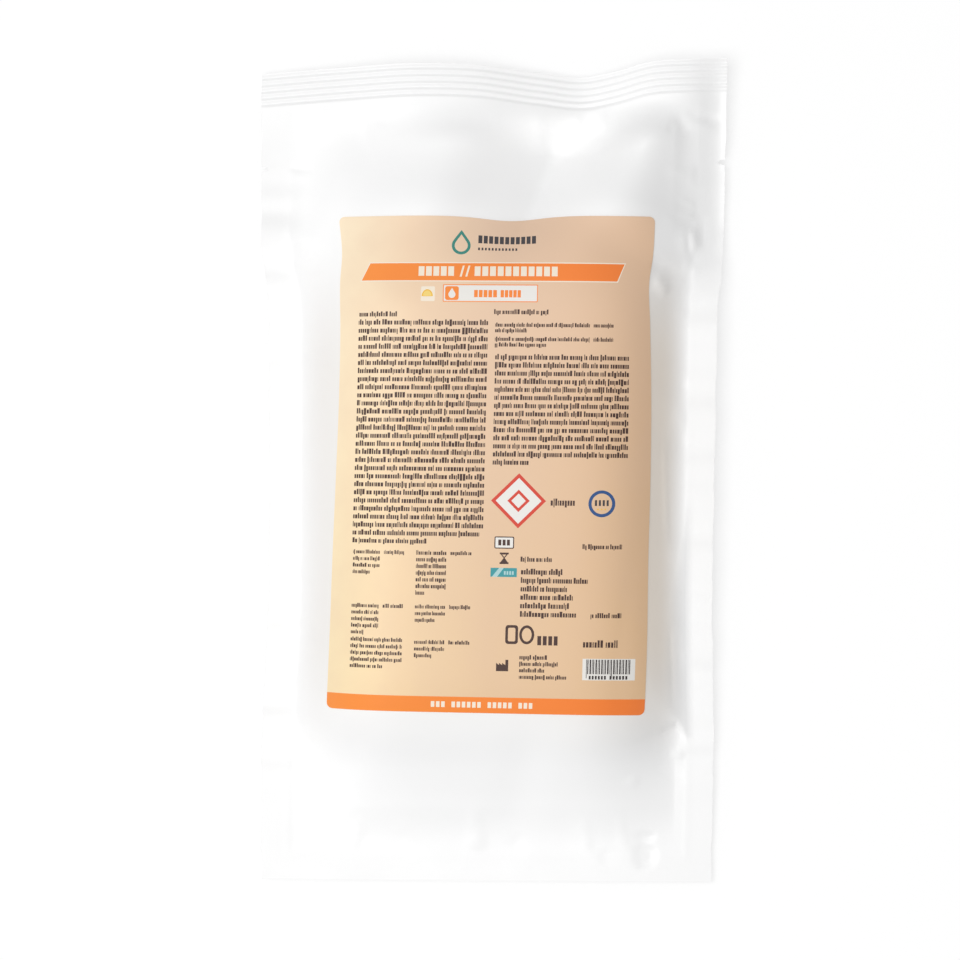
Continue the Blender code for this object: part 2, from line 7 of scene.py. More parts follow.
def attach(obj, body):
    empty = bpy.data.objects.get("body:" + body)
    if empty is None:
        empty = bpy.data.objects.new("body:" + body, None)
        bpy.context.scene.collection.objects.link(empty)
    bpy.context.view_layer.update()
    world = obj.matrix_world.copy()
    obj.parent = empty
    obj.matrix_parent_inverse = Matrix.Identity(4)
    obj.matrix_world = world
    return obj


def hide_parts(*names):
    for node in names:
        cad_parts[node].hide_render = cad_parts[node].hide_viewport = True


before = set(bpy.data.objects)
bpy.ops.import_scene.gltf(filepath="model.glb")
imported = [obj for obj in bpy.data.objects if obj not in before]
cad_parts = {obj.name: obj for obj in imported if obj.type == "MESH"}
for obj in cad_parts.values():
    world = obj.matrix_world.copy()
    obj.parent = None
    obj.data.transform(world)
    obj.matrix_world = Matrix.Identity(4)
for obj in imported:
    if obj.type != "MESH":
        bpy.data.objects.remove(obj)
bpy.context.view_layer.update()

# Everything is in the frame's metres: X across the pack, Y from its bottom to its mouth, Z up.
MM = 0.001

# Pouch form, repeated from the part's source
POUCH_WIDTH = 192.0 * MM
POUCH_LENGTH = 339.0 * MM
SIDE_LEAN = 6.6 * MM
WAIST_LEFT = 3.5 * MM
WAIST_RIGHT = 2.2 * MM
BOTTOM_DROP = 1.5 * MM
SIDE_SEAL = 11.0 * MM
SIDE_FLAT_BELOW_ROLL = 5.0 * MM
BOTTOM_SEAL = 10.0 * MM
MOUTH_SEAL = 14.0 * MM
RIB_COUNT = 5
RIB_PITCH = 2.7 * MM
RIB_DEPTH = 0.5 * MM
NOTCH_DEPTH = 2.9 * MM
NOTCH_HEIGHT = 2.2 * MM
NOTCH_BELOW_SEAL = 31.0 * MM
ROLL_LENGTH = 191.0 * MM
ROLL_CENTRE_Y = -10.5 * MM
PACK_THICKNESS = 42.0 * MM
SEAM_HEIGHT = 9.5 * MM
SEAM_END_HEIGHT = 3.0 * MM
END_SLOPE = 54.0 * MM
BACK_ROUND = 24.0 * MM
POWER_BESIDE_ROLL = 5.9
POWER_AT_ENDS = 3.0
TUCK_BESIDE_ROLL = 2.5
TUCK_AT_ENDS = 1.3
CREST_TILT = 0.15
MOUTH_EDGE = (
    (-1.00, 6.3 * MM, 3.5 * MM),
    (-0.65, 3.7 * MM, 6.0 * MM),
    (-0.32, 2.0 * MM, 9.5 * MM),
    (-0.08, 2.6 * MM, 9.0 * MM),
    (0.19, 5.8 * MM, 5.0 * MM),
    (0.40, 7.4 * MM, 3.0 * MM),
    (0.52, 5.2 * MM, 5.0 * MM),
    (0.67, 1.5 * MM, 9.5 * MM),
    (0.84, 0.5 * MM, 11.0 * MM),
    (1.00, 0.0 * MM, 11.5 * MM),
)
FOLD_SLANT = 0.43
MOUTH_FOLDS = (
    (-8.0 * MM, 6.5 * MM, 20.0 * MM),
    (64.0 * MM, 6.0 * MM, 14.0 * MM),
)
MOUTH_VALLEY = 36.0 * MM
VALLEY_DEPTH = 10.2 * MM
VALLEY_REACH_LEFT = 18.0 * MM
VALLEY_REACH_RIGHT = 20.0 * MM
VALLEY_ROUND = 3.0 * MM
CREASES = (
    ((67.0 * MM, 148.0 * MM), (57.0 * MM, 98.0 * MM), 14.0 * MM, 6.0 * MM),
    ((74.0 * MM, 144.5 * MM), (88.0 * MM, 143.5 * MM), 3.5 * MM, -2.0 * MM),
    ((79.0 * MM, 98.0 * MM), (82.0 * MM, 86.0 * MM), 3.5 * MM, 1.6 * MM),
    ((-74.0 * MM, 92.0 * MM), (-58.0 * MM, 128.0 * MM), 6.0 * MM, 0.8 * MM),
    ((-56.0 * MM, -106.0 * MM), (-70.0 * MM, -136.0 * MM), 8.0 * MM, -1.2 * MM),
    ((14.0 * MM, -106.0 * MM), (8.0 * MM, -146.0 * MM), 10.0 * MM, -1.0 * MM),
)
RIM_FOLD = ((93.0 * MM, 166.0 * MM), (93.0 * MM, 84.0 * MM), 9.0 * MM, -4.6 * MM)
PLEAT_TOP_Y = -5.0 * MM
PLEAT_FULL_Y = -85.0 * MM
PLEAT_TIP_Y = -111.0 * MM
PLEAT_TIP_SLANT = 1.4
PLEAT_TIP_ROUND = 3.0 * MM
PLEAT_TIP_WIDTH = 4.5 * MM
PLEAT_TIP_SOFT = 1.8
PLEAT_FROM_SEAL = 9.5 * MM
PLEAT_OVER_SEAL = 0.5 * MM
PLEAT_LEFT_WIDTH = 20.0 * MM
PLEAT_HEIGHT = 2.9 * MM

# Label place, repeated from the part's source
LABEL_WIDTH = 128.2 * MM
LABEL_LENGTH = 202.0 * MM
LABEL_CENTRE = (-1.1 * MM, 2.8 * MM)
LABEL_LEAN = 4.9 * MM
LABEL_BOTTOM_DROP = 3.0 * MM
LABEL_DIP = 2.0 * MM
LABEL_DIP_X = 6.5 * MM
LABEL_DIP_HALF_WIDTH = 15.0 * MM

# Fine form of the film, which only the looks have
FILM_RIM = 0.3 * MM                # thickness of the two films sealed together
SEAM_WAVE = 0.55 * MM              # the side seams wave up and down by this much
SEAM_WAVE_REACH = 16.0 * MM        # and take the film beside them along
SEAM_WAVE_CLEAR = (10.0 * MM, 50.0 * MM)  # the waves grow over this distance from the end seals
WAVES = (                          # length, share of the first wave's height, times the phase
    (31.0 * MM, 1.0, 1.0),
    (19.0 * MM, 0.6, 2.3),
    (11.5 * MM, 0.35, 4.1),
)
WAVES_TOGETHER = 1.95
LEFT_SEAM_PHASE = 0.8
RIGHT_SEAM_PHASE = 3.1
LEFT_EDGE_PHASE = 5.0
RIGHT_EDGE_PHASE = 1.4
EDGE_WAVE = 0.25 * MM              # waviness of the cut side edges
SEAL_LINE = 0.07 * MM              # low ridge where a seal ends and the loose film starts
SEAL_LINE_HALF_WIDTH = 1.3 * MM
LABEL_CLEAR = 5.0 * MM             # wrinkles die out this far from the label
FINE_CREASES = (                   # start, end, half width, height
    ((80.0 * MM, 146.6 * MM), (91.0 * MM, 145.0 * MM), 2.0 * MM, -0.6 * MM),
    ((79.0 * MM, 142.0 * MM), (90.0 * MM, 141.2 * MM), 2.2 * MM, 0.6 * MM),
    ((71.0 * MM, 141.5 * MM), (73.6 * MM, 139.6 * MM), 1.8 * MM, -0.3 * MM),
    ((81.6 * MM, 98.5 * MM), (82.6 * MM, 90.5 * MM), 2.2 * MM, 1.2 * MM),
    ((85.6 * MM, 104.0 * MM), (85.8 * MM, 93.0 * MM), 1.3 * MM, -0.5 * MM),
    ((79.4 * MM, 97.0 * MM), (79.9 * MM, 90.0 * MM), 1.2 * MM, -0.3 * MM),
    ((66.2 * MM, 78.0 * MM), (70.6 * MM, 73.5 * MM), 2.4 * MM, 1.5 * MM),
    ((78.0 * MM, 83.8 * MM), (83.5 * MM, 82.0 * MM), 1.8 * MM, 0.45 * MM),
    ((65.0 * MM, 84.5 * MM), (75.0 * MM, 81.5 * MM), 2.4 * MM, -0.8 * MM),
    ((69.5 * MM, 12.0 * MM), (70.6 * MM, -26.0 * MM), 1.2 * MM, 0.25 * MM),
    ((71.8 * MM, -66.0 * MM), (73.0 * MM, -92.0 * MM), 1.2 * MM, -0.25 * MM),
    ((56.0 * MM, -126.0 * MM), (57.5 * MM, -129.0 * MM), 2.2 * MM, 0.4 * MM),
)
DENTS = (                          # centre, half sizes across and along, depth, deeper to the right by
    ((46.8 * MM, -159.2 * MM), 3.3 * MM, 3.5 * MM, 0.14 * MM, -0.8),
    ((60.5 * MM, -150.6 * MM), 3.6 * MM, 2.2 * MM, 0.40 * MM, 0.9),
    ((60.5 * MM, -158.4 * MM), 4.0 * MM, 5.2 * MM, 0.55 * MM, 0.9),
)
DENT_FAR_SIDE = 1.6                # the right side of a dent reaches this many times as far
FOLDS_START = 3.5 * MM             # folds reach their full height this far from the seals
BACK_FOLDS_START = 12.0 * MM

# Where the film's colour changes, with painted shade and painted light laid into it
TINT_LOW = (-16.0 * MM, 42.0 * MM)   # from the roll's lower end: the film over the roll turns warmer
TINT_HIGH = (-48.0 * MM, 14.0 * MM)  # from the roll's upper end: and white again
TINT_SIDE = 13.0 * MM                # the tint grows over this distance from the side seals
TINT_SHADE_RIGHT = 60.0 * MM               # and reaches its full depth here, as painted shade on the shaded right flank
# share of the warm colour on the left, where the painted shade is lightest
TINT_SHADE_LEFT_SHARE = 0.3
LOOSE_PAINTED_LIGHT_START = 9.0 * MM               # painted light: film off the roll is painted whiter this far from the seals
LOOSE_PAINTED_LIGHT_RIGHT = (30.0 * MM, 60.0 * MM)  # and the painted light fades out over this stretch toward the shaded right

# Puckers, small folds of slack film that run in from the seams
PUCKER_SEED = 7
SIDE_PUCKERS = 46
END_PUCKERS = 20
BACK_PUCKERS = 44

# Film mesh, in cells
FILM_CELLS_ACROSS = (7, 26, 84, 34, 7)
FILM_CELLS_ALONG = (8, 50, 110, 56, 44)
NOTCH_CELLS = 10

# Label body
LABEL_BOW = (                      # place along the pack, shift of the left and of the right edge
    (-102.0 * MM, -0.9 * MM, 0.5 * MM),
    (-70.0 * MM, -0.2 * MM, 0.8 * MM),
    (-35.0 * MM, 0.3 * MM, 0.5 * MM),
    (0.0 * MM, 1.0 * MM, 0.6 * MM),
    (30.0 * MM, 1.5 * MM, 0.1 * MM),
    (60.0 * MM, 1.3 * MM, -1.1 * MM),
    (77.0 * MM, 0.7 * MM, -1.8 * MM),
    (88.0 * MM, 1.1 * MM, -0.4 * MM),
    (104.0 * MM, -0.8 * MM, 0.1 * MM),
)
LABEL_BOW_REACH = 0.14             # share of the label's width that the bowed edges take along
LABEL_GAP = 0.10 * MM
LABEL_THICKNESS = 0.18 * MM
LABEL_CORNER = 2.4                 # in the sheet's millimetres
LABEL_STEP = 2.2                   # spacing of the label's own mesh points
DIP_STARTS = 0.90                  # share of the label's length above which its top edge's dip starts

# The label's print is laid out on a flat sheet, in millimetres from its lower left corner.
SHEET_WIDTH = 130.0
SHEET_LENGTH = 205.0


def ramp(value, low, high):
    """Smooth step from 0 at low to 1 at high."""
    share = np.clip((value - low) / (high - low), 0.0, 1.0)
    return share * share * (3.0 - 2.0 * share)


def smooth_curve(points, at):
    """Cubic curve through a few chosen points."""
    xs = np.array([point[0] for point in points])
    ys = np.array([point[1] for point in points])
    slopes = np.gradient(ys, xs)
    at = np.clip(at, xs[0], xs[-1])
    low = np.clip(np.searchsorted(xs, at) - 1, 0, len(xs) - 2)
    span = xs[low + 1] - xs[low]
    s = (at - xs[low]) / span
    start = ys[low] * (1.0 + 2.0 * s) * (1.0 - s) ** 2 + slopes[low] * span * s * (1.0 - s) ** 2
    end = ys[low + 1] * s * s * (3.0 - 2.0 * s) + slopes[low + 1] * span * s * s * (s - 1.0)
    return start + end


# Plan of the pouch and its label

def roll_ends():
    """Y of the roll's lower and upper end."""
    return ROLL_CENTRE_Y - ROLL_LENGTH / 2.0, ROLL_CENTRE_Y + ROLL_LENGTH / 2.0


def waist(y):
    """Share of the drawing in of the side edges, largest beside the upper half of the roll."""
    low, high = roll_ends()
    above_low = ramp(y, low - 0.1 * ROLL_LENGTH, low + 0.35 * ROLL_LENGTH)
    return above_low * (1.0 - ramp(y, high - 0.12 * ROLL_LENGTH, high + 0.06 * ROLL_LENGTH))


def left_edge(y):
    """X of the pouch's left edge."""
    return -POUCH_WIDTH / 2.0 + WAIST_LEFT * waist(y)


def right_edge(y):
    """X of the pouch's right edge."""
    lean = SIDE_LEAN * (0.5 - y / POUCH_LENGTH)
    return POUCH_WIDTH / 2.0 - lean - WAIST_RIGHT * waist(y)


def label_side(y, side):
    """X of the label's left (-1) or right (+1) edge line, drawn on over the whole pouch."""
    lean = LABEL_LEAN * (y - LABEL_CENTRE[1]) / LABEL_LENGTH
    return LABEL_CENTRE[0] + lean + side * LABEL_WIDTH / 2.0


def mouth_edge(x):
    """Y of the wavy mouth edge."""
    points = [(share, drop) for share, drop, height in MOUTH_EDGE]
    return POUCH_LENGTH / 2.0 - smooth_curve(points, x / (POUCH_WIDTH / 2.0))


def row_lines(x):
    """Y of the lines across the pouch that its parts start and end on, bottom to top."""
    bottom = -POUCH_LENGTH / 2.0 + BOTTOM_DROP * (0.5 - x / POUCH_WIDTH)
    label_drop = LABEL_BOTTOM_DROP * (x - LABEL_CENTRE[0]) / LABEL_WIDTH
    label_low = LABEL_CENTRE[1] - LABEL_LENGTH / 2.0 - label_drop
    label_dip = LABEL_DIP * np.exp(-((x - LABEL_DIP_X) / LABEL_DIP_HALF_WIDTH) ** 2)
    label_high = LABEL_CENTRE[1] + LABEL_LENGTH / 2.0 - label_dip
    mouth = mouth_edge(x)
    return bottom, bottom + BOTTOM_SEAL, label_low, label_high, mouth - MOUTH_SEAL, mouth


# Main heights of the film over the table

def mouth_height(x):
    """Height of the mouth edge."""
    points = [(share, height) for share, drop, height in MOUTH_EDGE]
    return smooth_curve(points, x / (POUCH_WIDTH / 2.0))


def seam_height(y):
    """Height of the side seams: lifted beside the roll, low at the bottom."""
    low, high = roll_ends()
    beside = ramp(y, low - 0.3 * ROLL_LENGTH, low + 0.45 * ROLL_LENGTH)
    beside = beside * (1.0 - 0.45 * ramp(y, high - 0.1 * ROLL_LENGTH, high + 0.3 * ROLL_LENGTH))
    return SEAM_END_HEIGHT + (SEAM_HEIGHT - SEAM_END_HEIGHT) * beside


def crest_height(y):
    """Height of the film along the middle of the pack."""
    low, high = roll_ends()
    rise = PACK_THICKNESS - SEAM_END_HEIGHT
    points = (
        (low - END_SLOPE, 0.02),
        (low - 0.63 * END_SLOPE, 0.16),
        (low - 0.30 * END_SLOPE, 0.44),
        (low, 0.75),
        (low + 0.28 * END_SLOPE, 0.915),
        (low + 0.85 * END_SLOPE, 0.985),
        (ROLL_CENTRE_Y, 1.0),
        (high - 0.65 * END_SLOPE, 0.985),
        (high - 0.22 * END_SLOPE, 0.93),
        (high + 0.05 * END_SLOPE, 0.80),
        (high + 0.37 * END_SLOPE, 0.585),
        (high + 0.80 * END_SLOPE, 0.36),
        (high + 1.35 * END_SLOPE, 0.18),
    )
    return SEAM_END_HEIGHT + rise * smooth_curve(points, y)


def beside_roll(y):
    """1 beside the roll, 0 past its ends."""
    low, high = roll_ends()
    above_low = ramp(y, low - 0.16 * ROLL_LENGTH, low + 0.05 * ROLL_LENGTH)
    return above_low * (1.0 - ramp(y, high - 0.13 * ROLL_LENGTH, high + 0.09 * ROLL_LENGTH))


def side_flat(y):
    """Width of the flat film along a side: the seal, and more below the roll."""
    low = roll_ends()[0]
    above_low = ramp(y, low - 0.08 * ROLL_LENGTH, low + 0.06 * ROLL_LENGTH)
    return SIDE_SEAL + SIDE_FLAT_BELOW_ROLL * (1.0 - above_low)


def across_share(x, y):
    """Share of the crest's height that the film keeps across the pack."""
    left = left_edge(y) + side_flat(y)
    right = right_edge(y) - side_flat(y)
    t = np.clip(np.abs(x - (left + right) / 2.0) / ((right - left) / 2.0), 0.0, 1.0)
    near = beside_roll(y)
    power = POWER_AT_ENDS + (POWER_BESIDE_ROLL - POWER_AT_ENDS) * near
    tuck = TUCK_AT_ENDS + (TUCK_BESIDE_ROLL - TUCK_AT_ENDS) * near
    lean = 1.0 - CREST_TILT * near * t * np.sign(x - (left + right) / 2.0)
    return lean * (1.0 - t ** power) ** tuck


def crease(x, y, start, end, half_width, height):
    """Soft ridge (or groove) along a line, fading out at both ends."""
    run = np.array(end) - np.array(start)
    length = np.hypot(run[0], run[1])
    along = ((x - start[0]) * run[0] + (y - start[1]) * run[1]) / length ** 2
    off = ((x - start[0]) * run[1] - (y - start[1]) * run[0]) / length
    window = ramp(along, -0.25, 0.25) * (1.0 - ramp(along, 0.75, 1.25))
    return height * window * np.exp(-(off / half_width) ** 2)


def mouth_folds(x, y):
    """Slanting folds between the roll's upper end and the mouth seal."""
    high = roll_ends()[1]
    seal = POUCH_LENGTH / 2.0 - MOUTH_SEAL
    slid = x + FOLD_SLANT * (seal - y)
    fade = ramp(y, high - 0.15 * END_SLOPE, high + 0.60 * END_SLOPE)
    fade = fade * (1.0 - 0.75 * ramp(y, seal - 0.35 * END_SLOPE, seal))
    height = 0.0 * x
    for place, rise, half_width in MOUTH_FOLDS:
        height = height + rise * np.exp(-((slid - place) / half_width) ** 2)
    off = slid - MOUTH_VALLEY
    reach = np.where(off < 0.0, VALLEY_REACH_LEFT, VALLEY_REACH_RIGHT)
    height = height - VALLEY_DEPTH * np.exp((VALLEY_ROUND - np.hypot(off, VALLEY_ROUND)) / reach)
    return height * fade


def pleat(x, y):
    """Loose pleat along the right seal, which grows downwards and ends in a slanting tip."""
    grown = 1.0 - ramp(y, PLEAT_FULL_Y, PLEAT_TOP_Y)
    seal = right_edge(y) - SIDE_SEAL
    crest = seal - PLEAT_FROM_SEAL * grown
    width = np.where(x < crest, PLEAT_LEFT_WIDTH, seal + PLEAT_OVER_SEAL - crest)
    tip = PLEAT_TIP_Y + PLEAT_TIP_ROUND + PLEAT_TIP_SLANT * np.clip(seal - x, 0.0, None)
    soft = PLEAT_TIP_SOFT * np.clip(seal - PLEAT_TIP_WIDTH - x, 0.0, None)
    below = np.clip((tip - y) / (PLEAT_TIP_ROUND + soft), 0.0, 1.0)
    reach = np.clip(np.abs(x - crest) / width, 0.0, 1.0)
    side = (1.0 - reach ** 2) ** np.where(x < crest, 1.5, 1.0)
    return PLEAT_HEIGHT * grown * side * (1.0 - below ** 2)


def from_side_seal(x, y):
    """Distance inwards from the nearer side seal."""
    return np.minimum(x - left_edge(y) - SIDE_SEAL, right_edge(y) - SIDE_SEAL - x)


def from_end_seal(x, y):
    """Distance inwards from the nearer end seal."""
    lines = row_lines(x)
    return np.minimum(y - lines[1], lines[4] - y)


def inside_seals(x, y):
    """0 on the side and end seals, 1 well inside them."""
    side = ramp(from_side_seal(x, y), 0.0, SIDE_SEAL)
    return side * ramp(from_end_seal(x, y), 0.0, 1.4 * MOUTH_SEAL)


def seal_height(x, y):
    """Height of the sealed rim, drawn on over the whole pouch."""
    high = roll_ends()[1]
    mouth = ramp(y, high + 0.1 * END_SLOPE, POUCH_LENGTH / 2.0 - MOUTH_SEAL)
    return seam_height(y) * (1.0 - mouth) + mouth_height(x) * mouth


def film_top(x, y):
    """Main height of the front film."""
    rim = seal_height(x, y)
    share = across_share(x, y)
    seal = POUCH_LENGTH / 2.0 - MOUTH_SEAL
    share = share * (1.0 - ramp(y, seal - 0.9 * END_SLOPE, seal))
    bottom_inner = row_lines(x)[1]
    share = share * ramp(y, bottom_inner, bottom_inner + 0.4 * END_SLOPE)
    height = rim + (crest_height(y) - rim) * share
    loose = mouth_folds(x, y)
    for start, end, half_width, rise in CREASES:
        loose = loose + crease(x, y, start, end, half_width, rise)
    return height + loose * inside_seals(x, y) + pleat(x, y) + crease(x, y, *RIM_FOLD)


def film_back(x, y):
    """Main height of the back film: flat on the table under the roll, rising to the rim."""
    inwards = np.minimum(from_side_seal(x, y), from_end_seal(x, y))
    near = 1.0 - np.clip(inwards / BACK_ROUND, 0.0, 1.0)
    return (seal_height(x, y) - FILM_RIM) * near ** 1.8


def rib_wave(below_edge):
    """Height change of the ribbed mouth seal at a distance below the mouth edge."""
    first = (MOUTH_SEAL - RIB_COUNT * RIB_PITCH) / 2.0
    inside = (below_edge > first) & (below_edge < first + RIB_COUNT * RIB_PITCH)
    turn = (below_edge - first) / RIB_PITCH * 2.0 * np.pi
    return np.where(inside, -0.5 * RIB_DEPTH * (1.0 - np.cos(turn)), 0.0)


# Fine heights: seam waves, seal lines, puckers and dents

def waves(y, phase):
    """Irregular wave between about -1 and 1 along the pack."""
    wave = 0.0
    for length, share, turn in WAVES:
        wave = wave + share * np.sin(y / length * 2.0 * np.pi + turn * phase)
    return wave / WAVES_TOGETHER


def seam_wave(x, y):
    """Height change of a waving side seam and of the film beside it."""
    wave = waves(y, LEFT_SEAM_PHASE) * (x < 0.0) + waves(y, RIGHT_SEAM_PHASE) * (x >= 0.0)
    near = 1.0 - ramp(from_side_seal(x, y), 0.0, SEAM_WAVE_REACH)
    return SEAM_WAVE * wave * near * ramp(from_end_seal(x, y), *SEAM_WAVE_CLEAR)


def seal_line(x, y):
    """Low ridge along the inner border of the seals."""
    inwards = np.minimum(from_side_seal(x, y), from_end_seal(x, y))
    return SEAL_LINE * np.exp(-(inwards / SEAL_LINE_HALF_WIDTH) ** 2)


def clear_of_label(x, y):
    """0 on the label, 1 beside it."""
    lines = row_lines(x)
    across = np.maximum(label_side(y, -1.0) - x, x - label_side(y, 1.0))
    along = np.maximum(lines[2] - y, y - lines[3])
    return ramp(np.maximum(across, along), 0.0, LABEL_CLEAR)


def side_puckers(rng):
    """Small folds that run in from the side seams."""
    folds = []
    for _ in range(SIDE_PUCKERS):
        side = rng.choice((-1.0, 1.0))
        y = rng.uniform(-128.0, 132.0) * MM
        seam = left_edge(y) + SIDE_SEAL if side < 0.0 else right_edge(y) - SIDE_SEAL
        length = rng.uniform(6.0, 15.0) * MM
        start = (seam, y)
        end = (seam - side * length, y + rng.uniform(-0.5, 0.5) * length)
        folds.append((start, end, rng.uniform(1.3, 2.6) * MM, rng.uniform(-0.35, 0.45) * MM))
    return folds


def end_puckers(rng):
    """Small folds that run in from the bottom and mouth seals."""
    folds = []
    for _ in range(END_PUCKERS):
        x = rng.uniform(-76.0, 72.0) * MM
        bottom = rng.random() < 0.6
        y = row_lines(x)[1] if bottom else row_lines(x)[4]
        length = rng.uniform(8.0, 20.0) * MM * (1.0 if bottom else -1.0)
        end = (x - 0.25 * x * abs(length) / (60.0 * MM), y + length)
        folds.append(((x, y), end, rng.uniform(1.6, 3.2) * MM, rng.uniform(-0.4, 0.5) * MM))
    return folds


def back_puckers(rng):
    """Folds of the back film, which run from its seams in under the roll."""
    folds = []
    for _ in range(BACK_PUCKERS):
        turn = rng.uniform(0.0, 2.0 * np.pi)
        out = np.array((np.cos(turn) * 78.0 * MM, np.sin(turn) * 148.0 * MM))
        inwards = out * rng.uniform(0.62, 0.85)
        end = inwards + rng.uniform(-9.0, 9.0, 2) * MM
        height = rng.uniform(0.3, 1.1) * MM
        folds.append((tuple(out), tuple(end), rng.uniform(1.8, 4.0) * MM, height))
    return folds


def folds_height(x, y, folds):
    """Height of a list of folds together."""
    height = 0.0 * x
    for start, end, half_width, rise in folds:
        height = height + crease(x, y, start, end, half_width, rise)
    return height


def dents(x, y):
    """Shallow dents in the film at the bottom seal."""
    height = 0.0 * x
    for centre, half_x, half_y, depth, tilt in DENTS:
        across = (x - centre[0]) / half_x
        across = np.where(across < 0.0, across, across / DENT_FAR_SIDE)
        reach = np.hypot(across, (y - centre[1]) / half_y)
        deeper = 1.0 + tilt * np.clip(across, -1.0, 1.0)
        height = height - depth * deeper * (1.0 - ramp(reach, 0.55, 1.25))
    return height


def free_film(x, y):
    """0 on the seals, 1 a little inside them."""
    return ramp(from_side_seal(x, y), 0.0, FOLDS_START) * ramp(from_end_seal(x, y), 0.0, 2.0 * FOLDS_START)


def front_height(x, y):
    """Height of the front film with all its fine form."""
    lines = row_lines(x)
    fine = folds_height(x, y, FRONT_FOLDS) * free_film(x, y) * clear_of_label(x, y)
    fine = fine + folds_height(x, y, FINE_CREASES)
    edge = seam_wave(x, y) + seal_line(x, y) * clear_of_label(x, y)
    return film_top(x, y) + fine + edge + dents(x, y) + rib_wave(lines[5] - y)


def back_height(x, y):
    """Height of the back film with all its fine form."""
    lines = row_lines(x)
    fine = folds_height(x, y, BACK_FOLDS) * ramp(from_side_seal(x, y), 0.0, BACK_FOLDS_START)
    fine = fine * ramp(from_end_seal(x, y), 0.0, BACK_FOLDS_START)
    height = film_back(x, y) + fine + seam_wave(x, y)
    return np.maximum(height, 0.0) + rib_wave(lines[5] - y)


fold_numbers = np.random.default_rng(PUCKER_SEED)
FRONT_FOLDS = side_puckers(fold_numbers) + end_puckers(fold_numbers)
BACK_FOLDS = back_puckers(fold_numbers)


# Film mesh

def zone_stations(zones):
    """Zone number and share of each grid line, from the shares of each zone in turn."""
    numbers = [0]
    shares = [0.0]
    for zone, zone_shares in enumerate(zones):
        numbers += [zone] * (len(zone_shares) - 1)
        shares += list(zone_shares[1:])
    return np.array(numbers), np.array(shares)


def notch_middle():
    """Y of the tear notches."""
    return POUCH_LENGTH / 2.0 - MOUTH_SEAL - NOTCH_BELOW_SEAL


def row_stations():
    """Rows from the bottom edge to the mouth edge, closer together at the tear notches."""
    zones = [np.linspace(0.0, 1.0, cells + 1) for cells in FILM_CELLS_ALONG]
    lines = row_lines(np.array(0.0))
    length = lines[4] - lines[3]
    middle = (notch_middle() - lines[3]) / length
    half = 0.5 * NOTCH_HEIGHT / length
    plain = zones[3][np.abs(zones[3] - middle) > half + 0.3 / FILM_CELLS_ALONG[3]]
    notch = np.linspace(middle - half, middle + half, NOTCH_CELLS + 1)
    zones[3] = np.sort(np.concatenate((plain, notch)))
    return zone_stations(zones)


def film_plan():
    """X and Y of the film's grid points."""
    column_zone, column_share = zone_stations(
        [np.linspace(0.0, 1.0, cells + 1) for cells in FILM_CELLS_ACROSS]
    )
    row_zone, row_share = row_stations()
    middle = np.array([float(line) for line in row_lines(np.array(0.0))])
    y = middle[row_zone] + row_share * (middle[row_zone + 1] - middle[row_zone])
    off_notch = np.clip(np.abs(y - notch_middle()) / (0.5 * NOTCH_HEIGHT), 0.0, 1.0)
    notch = NOTCH_DEPTH * (1.0 - off_notch ** 2) ** 0.8
    y = np.repeat(y[:, None], len(column_zone), axis=1)
    zone = np.repeat(column_zone[None, :], len(row_zone), axis=0)
    for _ in range(3):
        left = left_edge(y) + EDGE_WAVE * (1.0 + waves(y, LEFT_EDGE_PHASE))
        right = right_edge(y) - EDGE_WAVE * (1.0 + waves(y, RIGHT_EDGE_PHASE))
        lines = np.stack((
            left + notch[:, None],
            left_edge(y) + SIDE_SEAL,
            label_side(y, -1.0),
            label_side(y, 1.0),
            right_edge(y) - SIDE_SEAL,
            right - notch[:, None],
        ))
        low = np.take_along_axis(lines, zone[None], axis=0)[0]
        high = np.take_along_axis(lines, zone[None] + 1, axis=0)[0]
        x = low + column_share[None, :] * (high - low)
        rows = np.stack(row_lines(x))
        at_row = np.repeat(row_zone[:, None], x.shape[1], axis=1)
        low = np.take_along_axis(rows, at_row[None], axis=0)[0]
        high = np.take_along_axis(rows, at_row[None] + 1, axis=0)[0]
        y = low + row_share[:, None] * (high - low)
    return x, y


def grid_faces(numbers, flip):
    """Quads of a grid of vertex numbers."""
    a = numbers[:-1, :-1]
    b = numbers[:-1, 1:]
    c = numbers[1:, 1:]
    d = numbers[1:, :-1]
    corners = (a, d, c, b) if flip else (a, b, c, d)
    return np.stack(corners, axis=2).reshape(-1, 4)


def rim_loop(numbers):
    """Vertex numbers round the border of a grid."""
    return np.concatenate((numbers[0, :-1], numbers[:-1, -1], numbers[-1, :0:-1], numbers[:0:-1, 0]))


def mark_sharp(mesh, loops):
    """Marks the edges that run along vertex loops as sharp."""
    sharp = mesh.attributes.new("sharp_edge", "BOOLEAN", "EDGE")
    ends = np.empty(len(mesh.edges) * 2, dtype=np.int32)
    mesh.edges.foreach_get("vertices", ends)
    ends = ends.reshape(-1, 2)
    marked = np.zeros(len(mesh.edges), dtype=bool)
    for loop in loops:
        on_loop = np.zeros(len(mesh.vertices), dtype=bool)
        on_loop[loop] = True
        marked |= on_loop[ends[:, 0]] & on_loop[ends[:, 1]]
    sharp.data.foreach_set("value", marked)


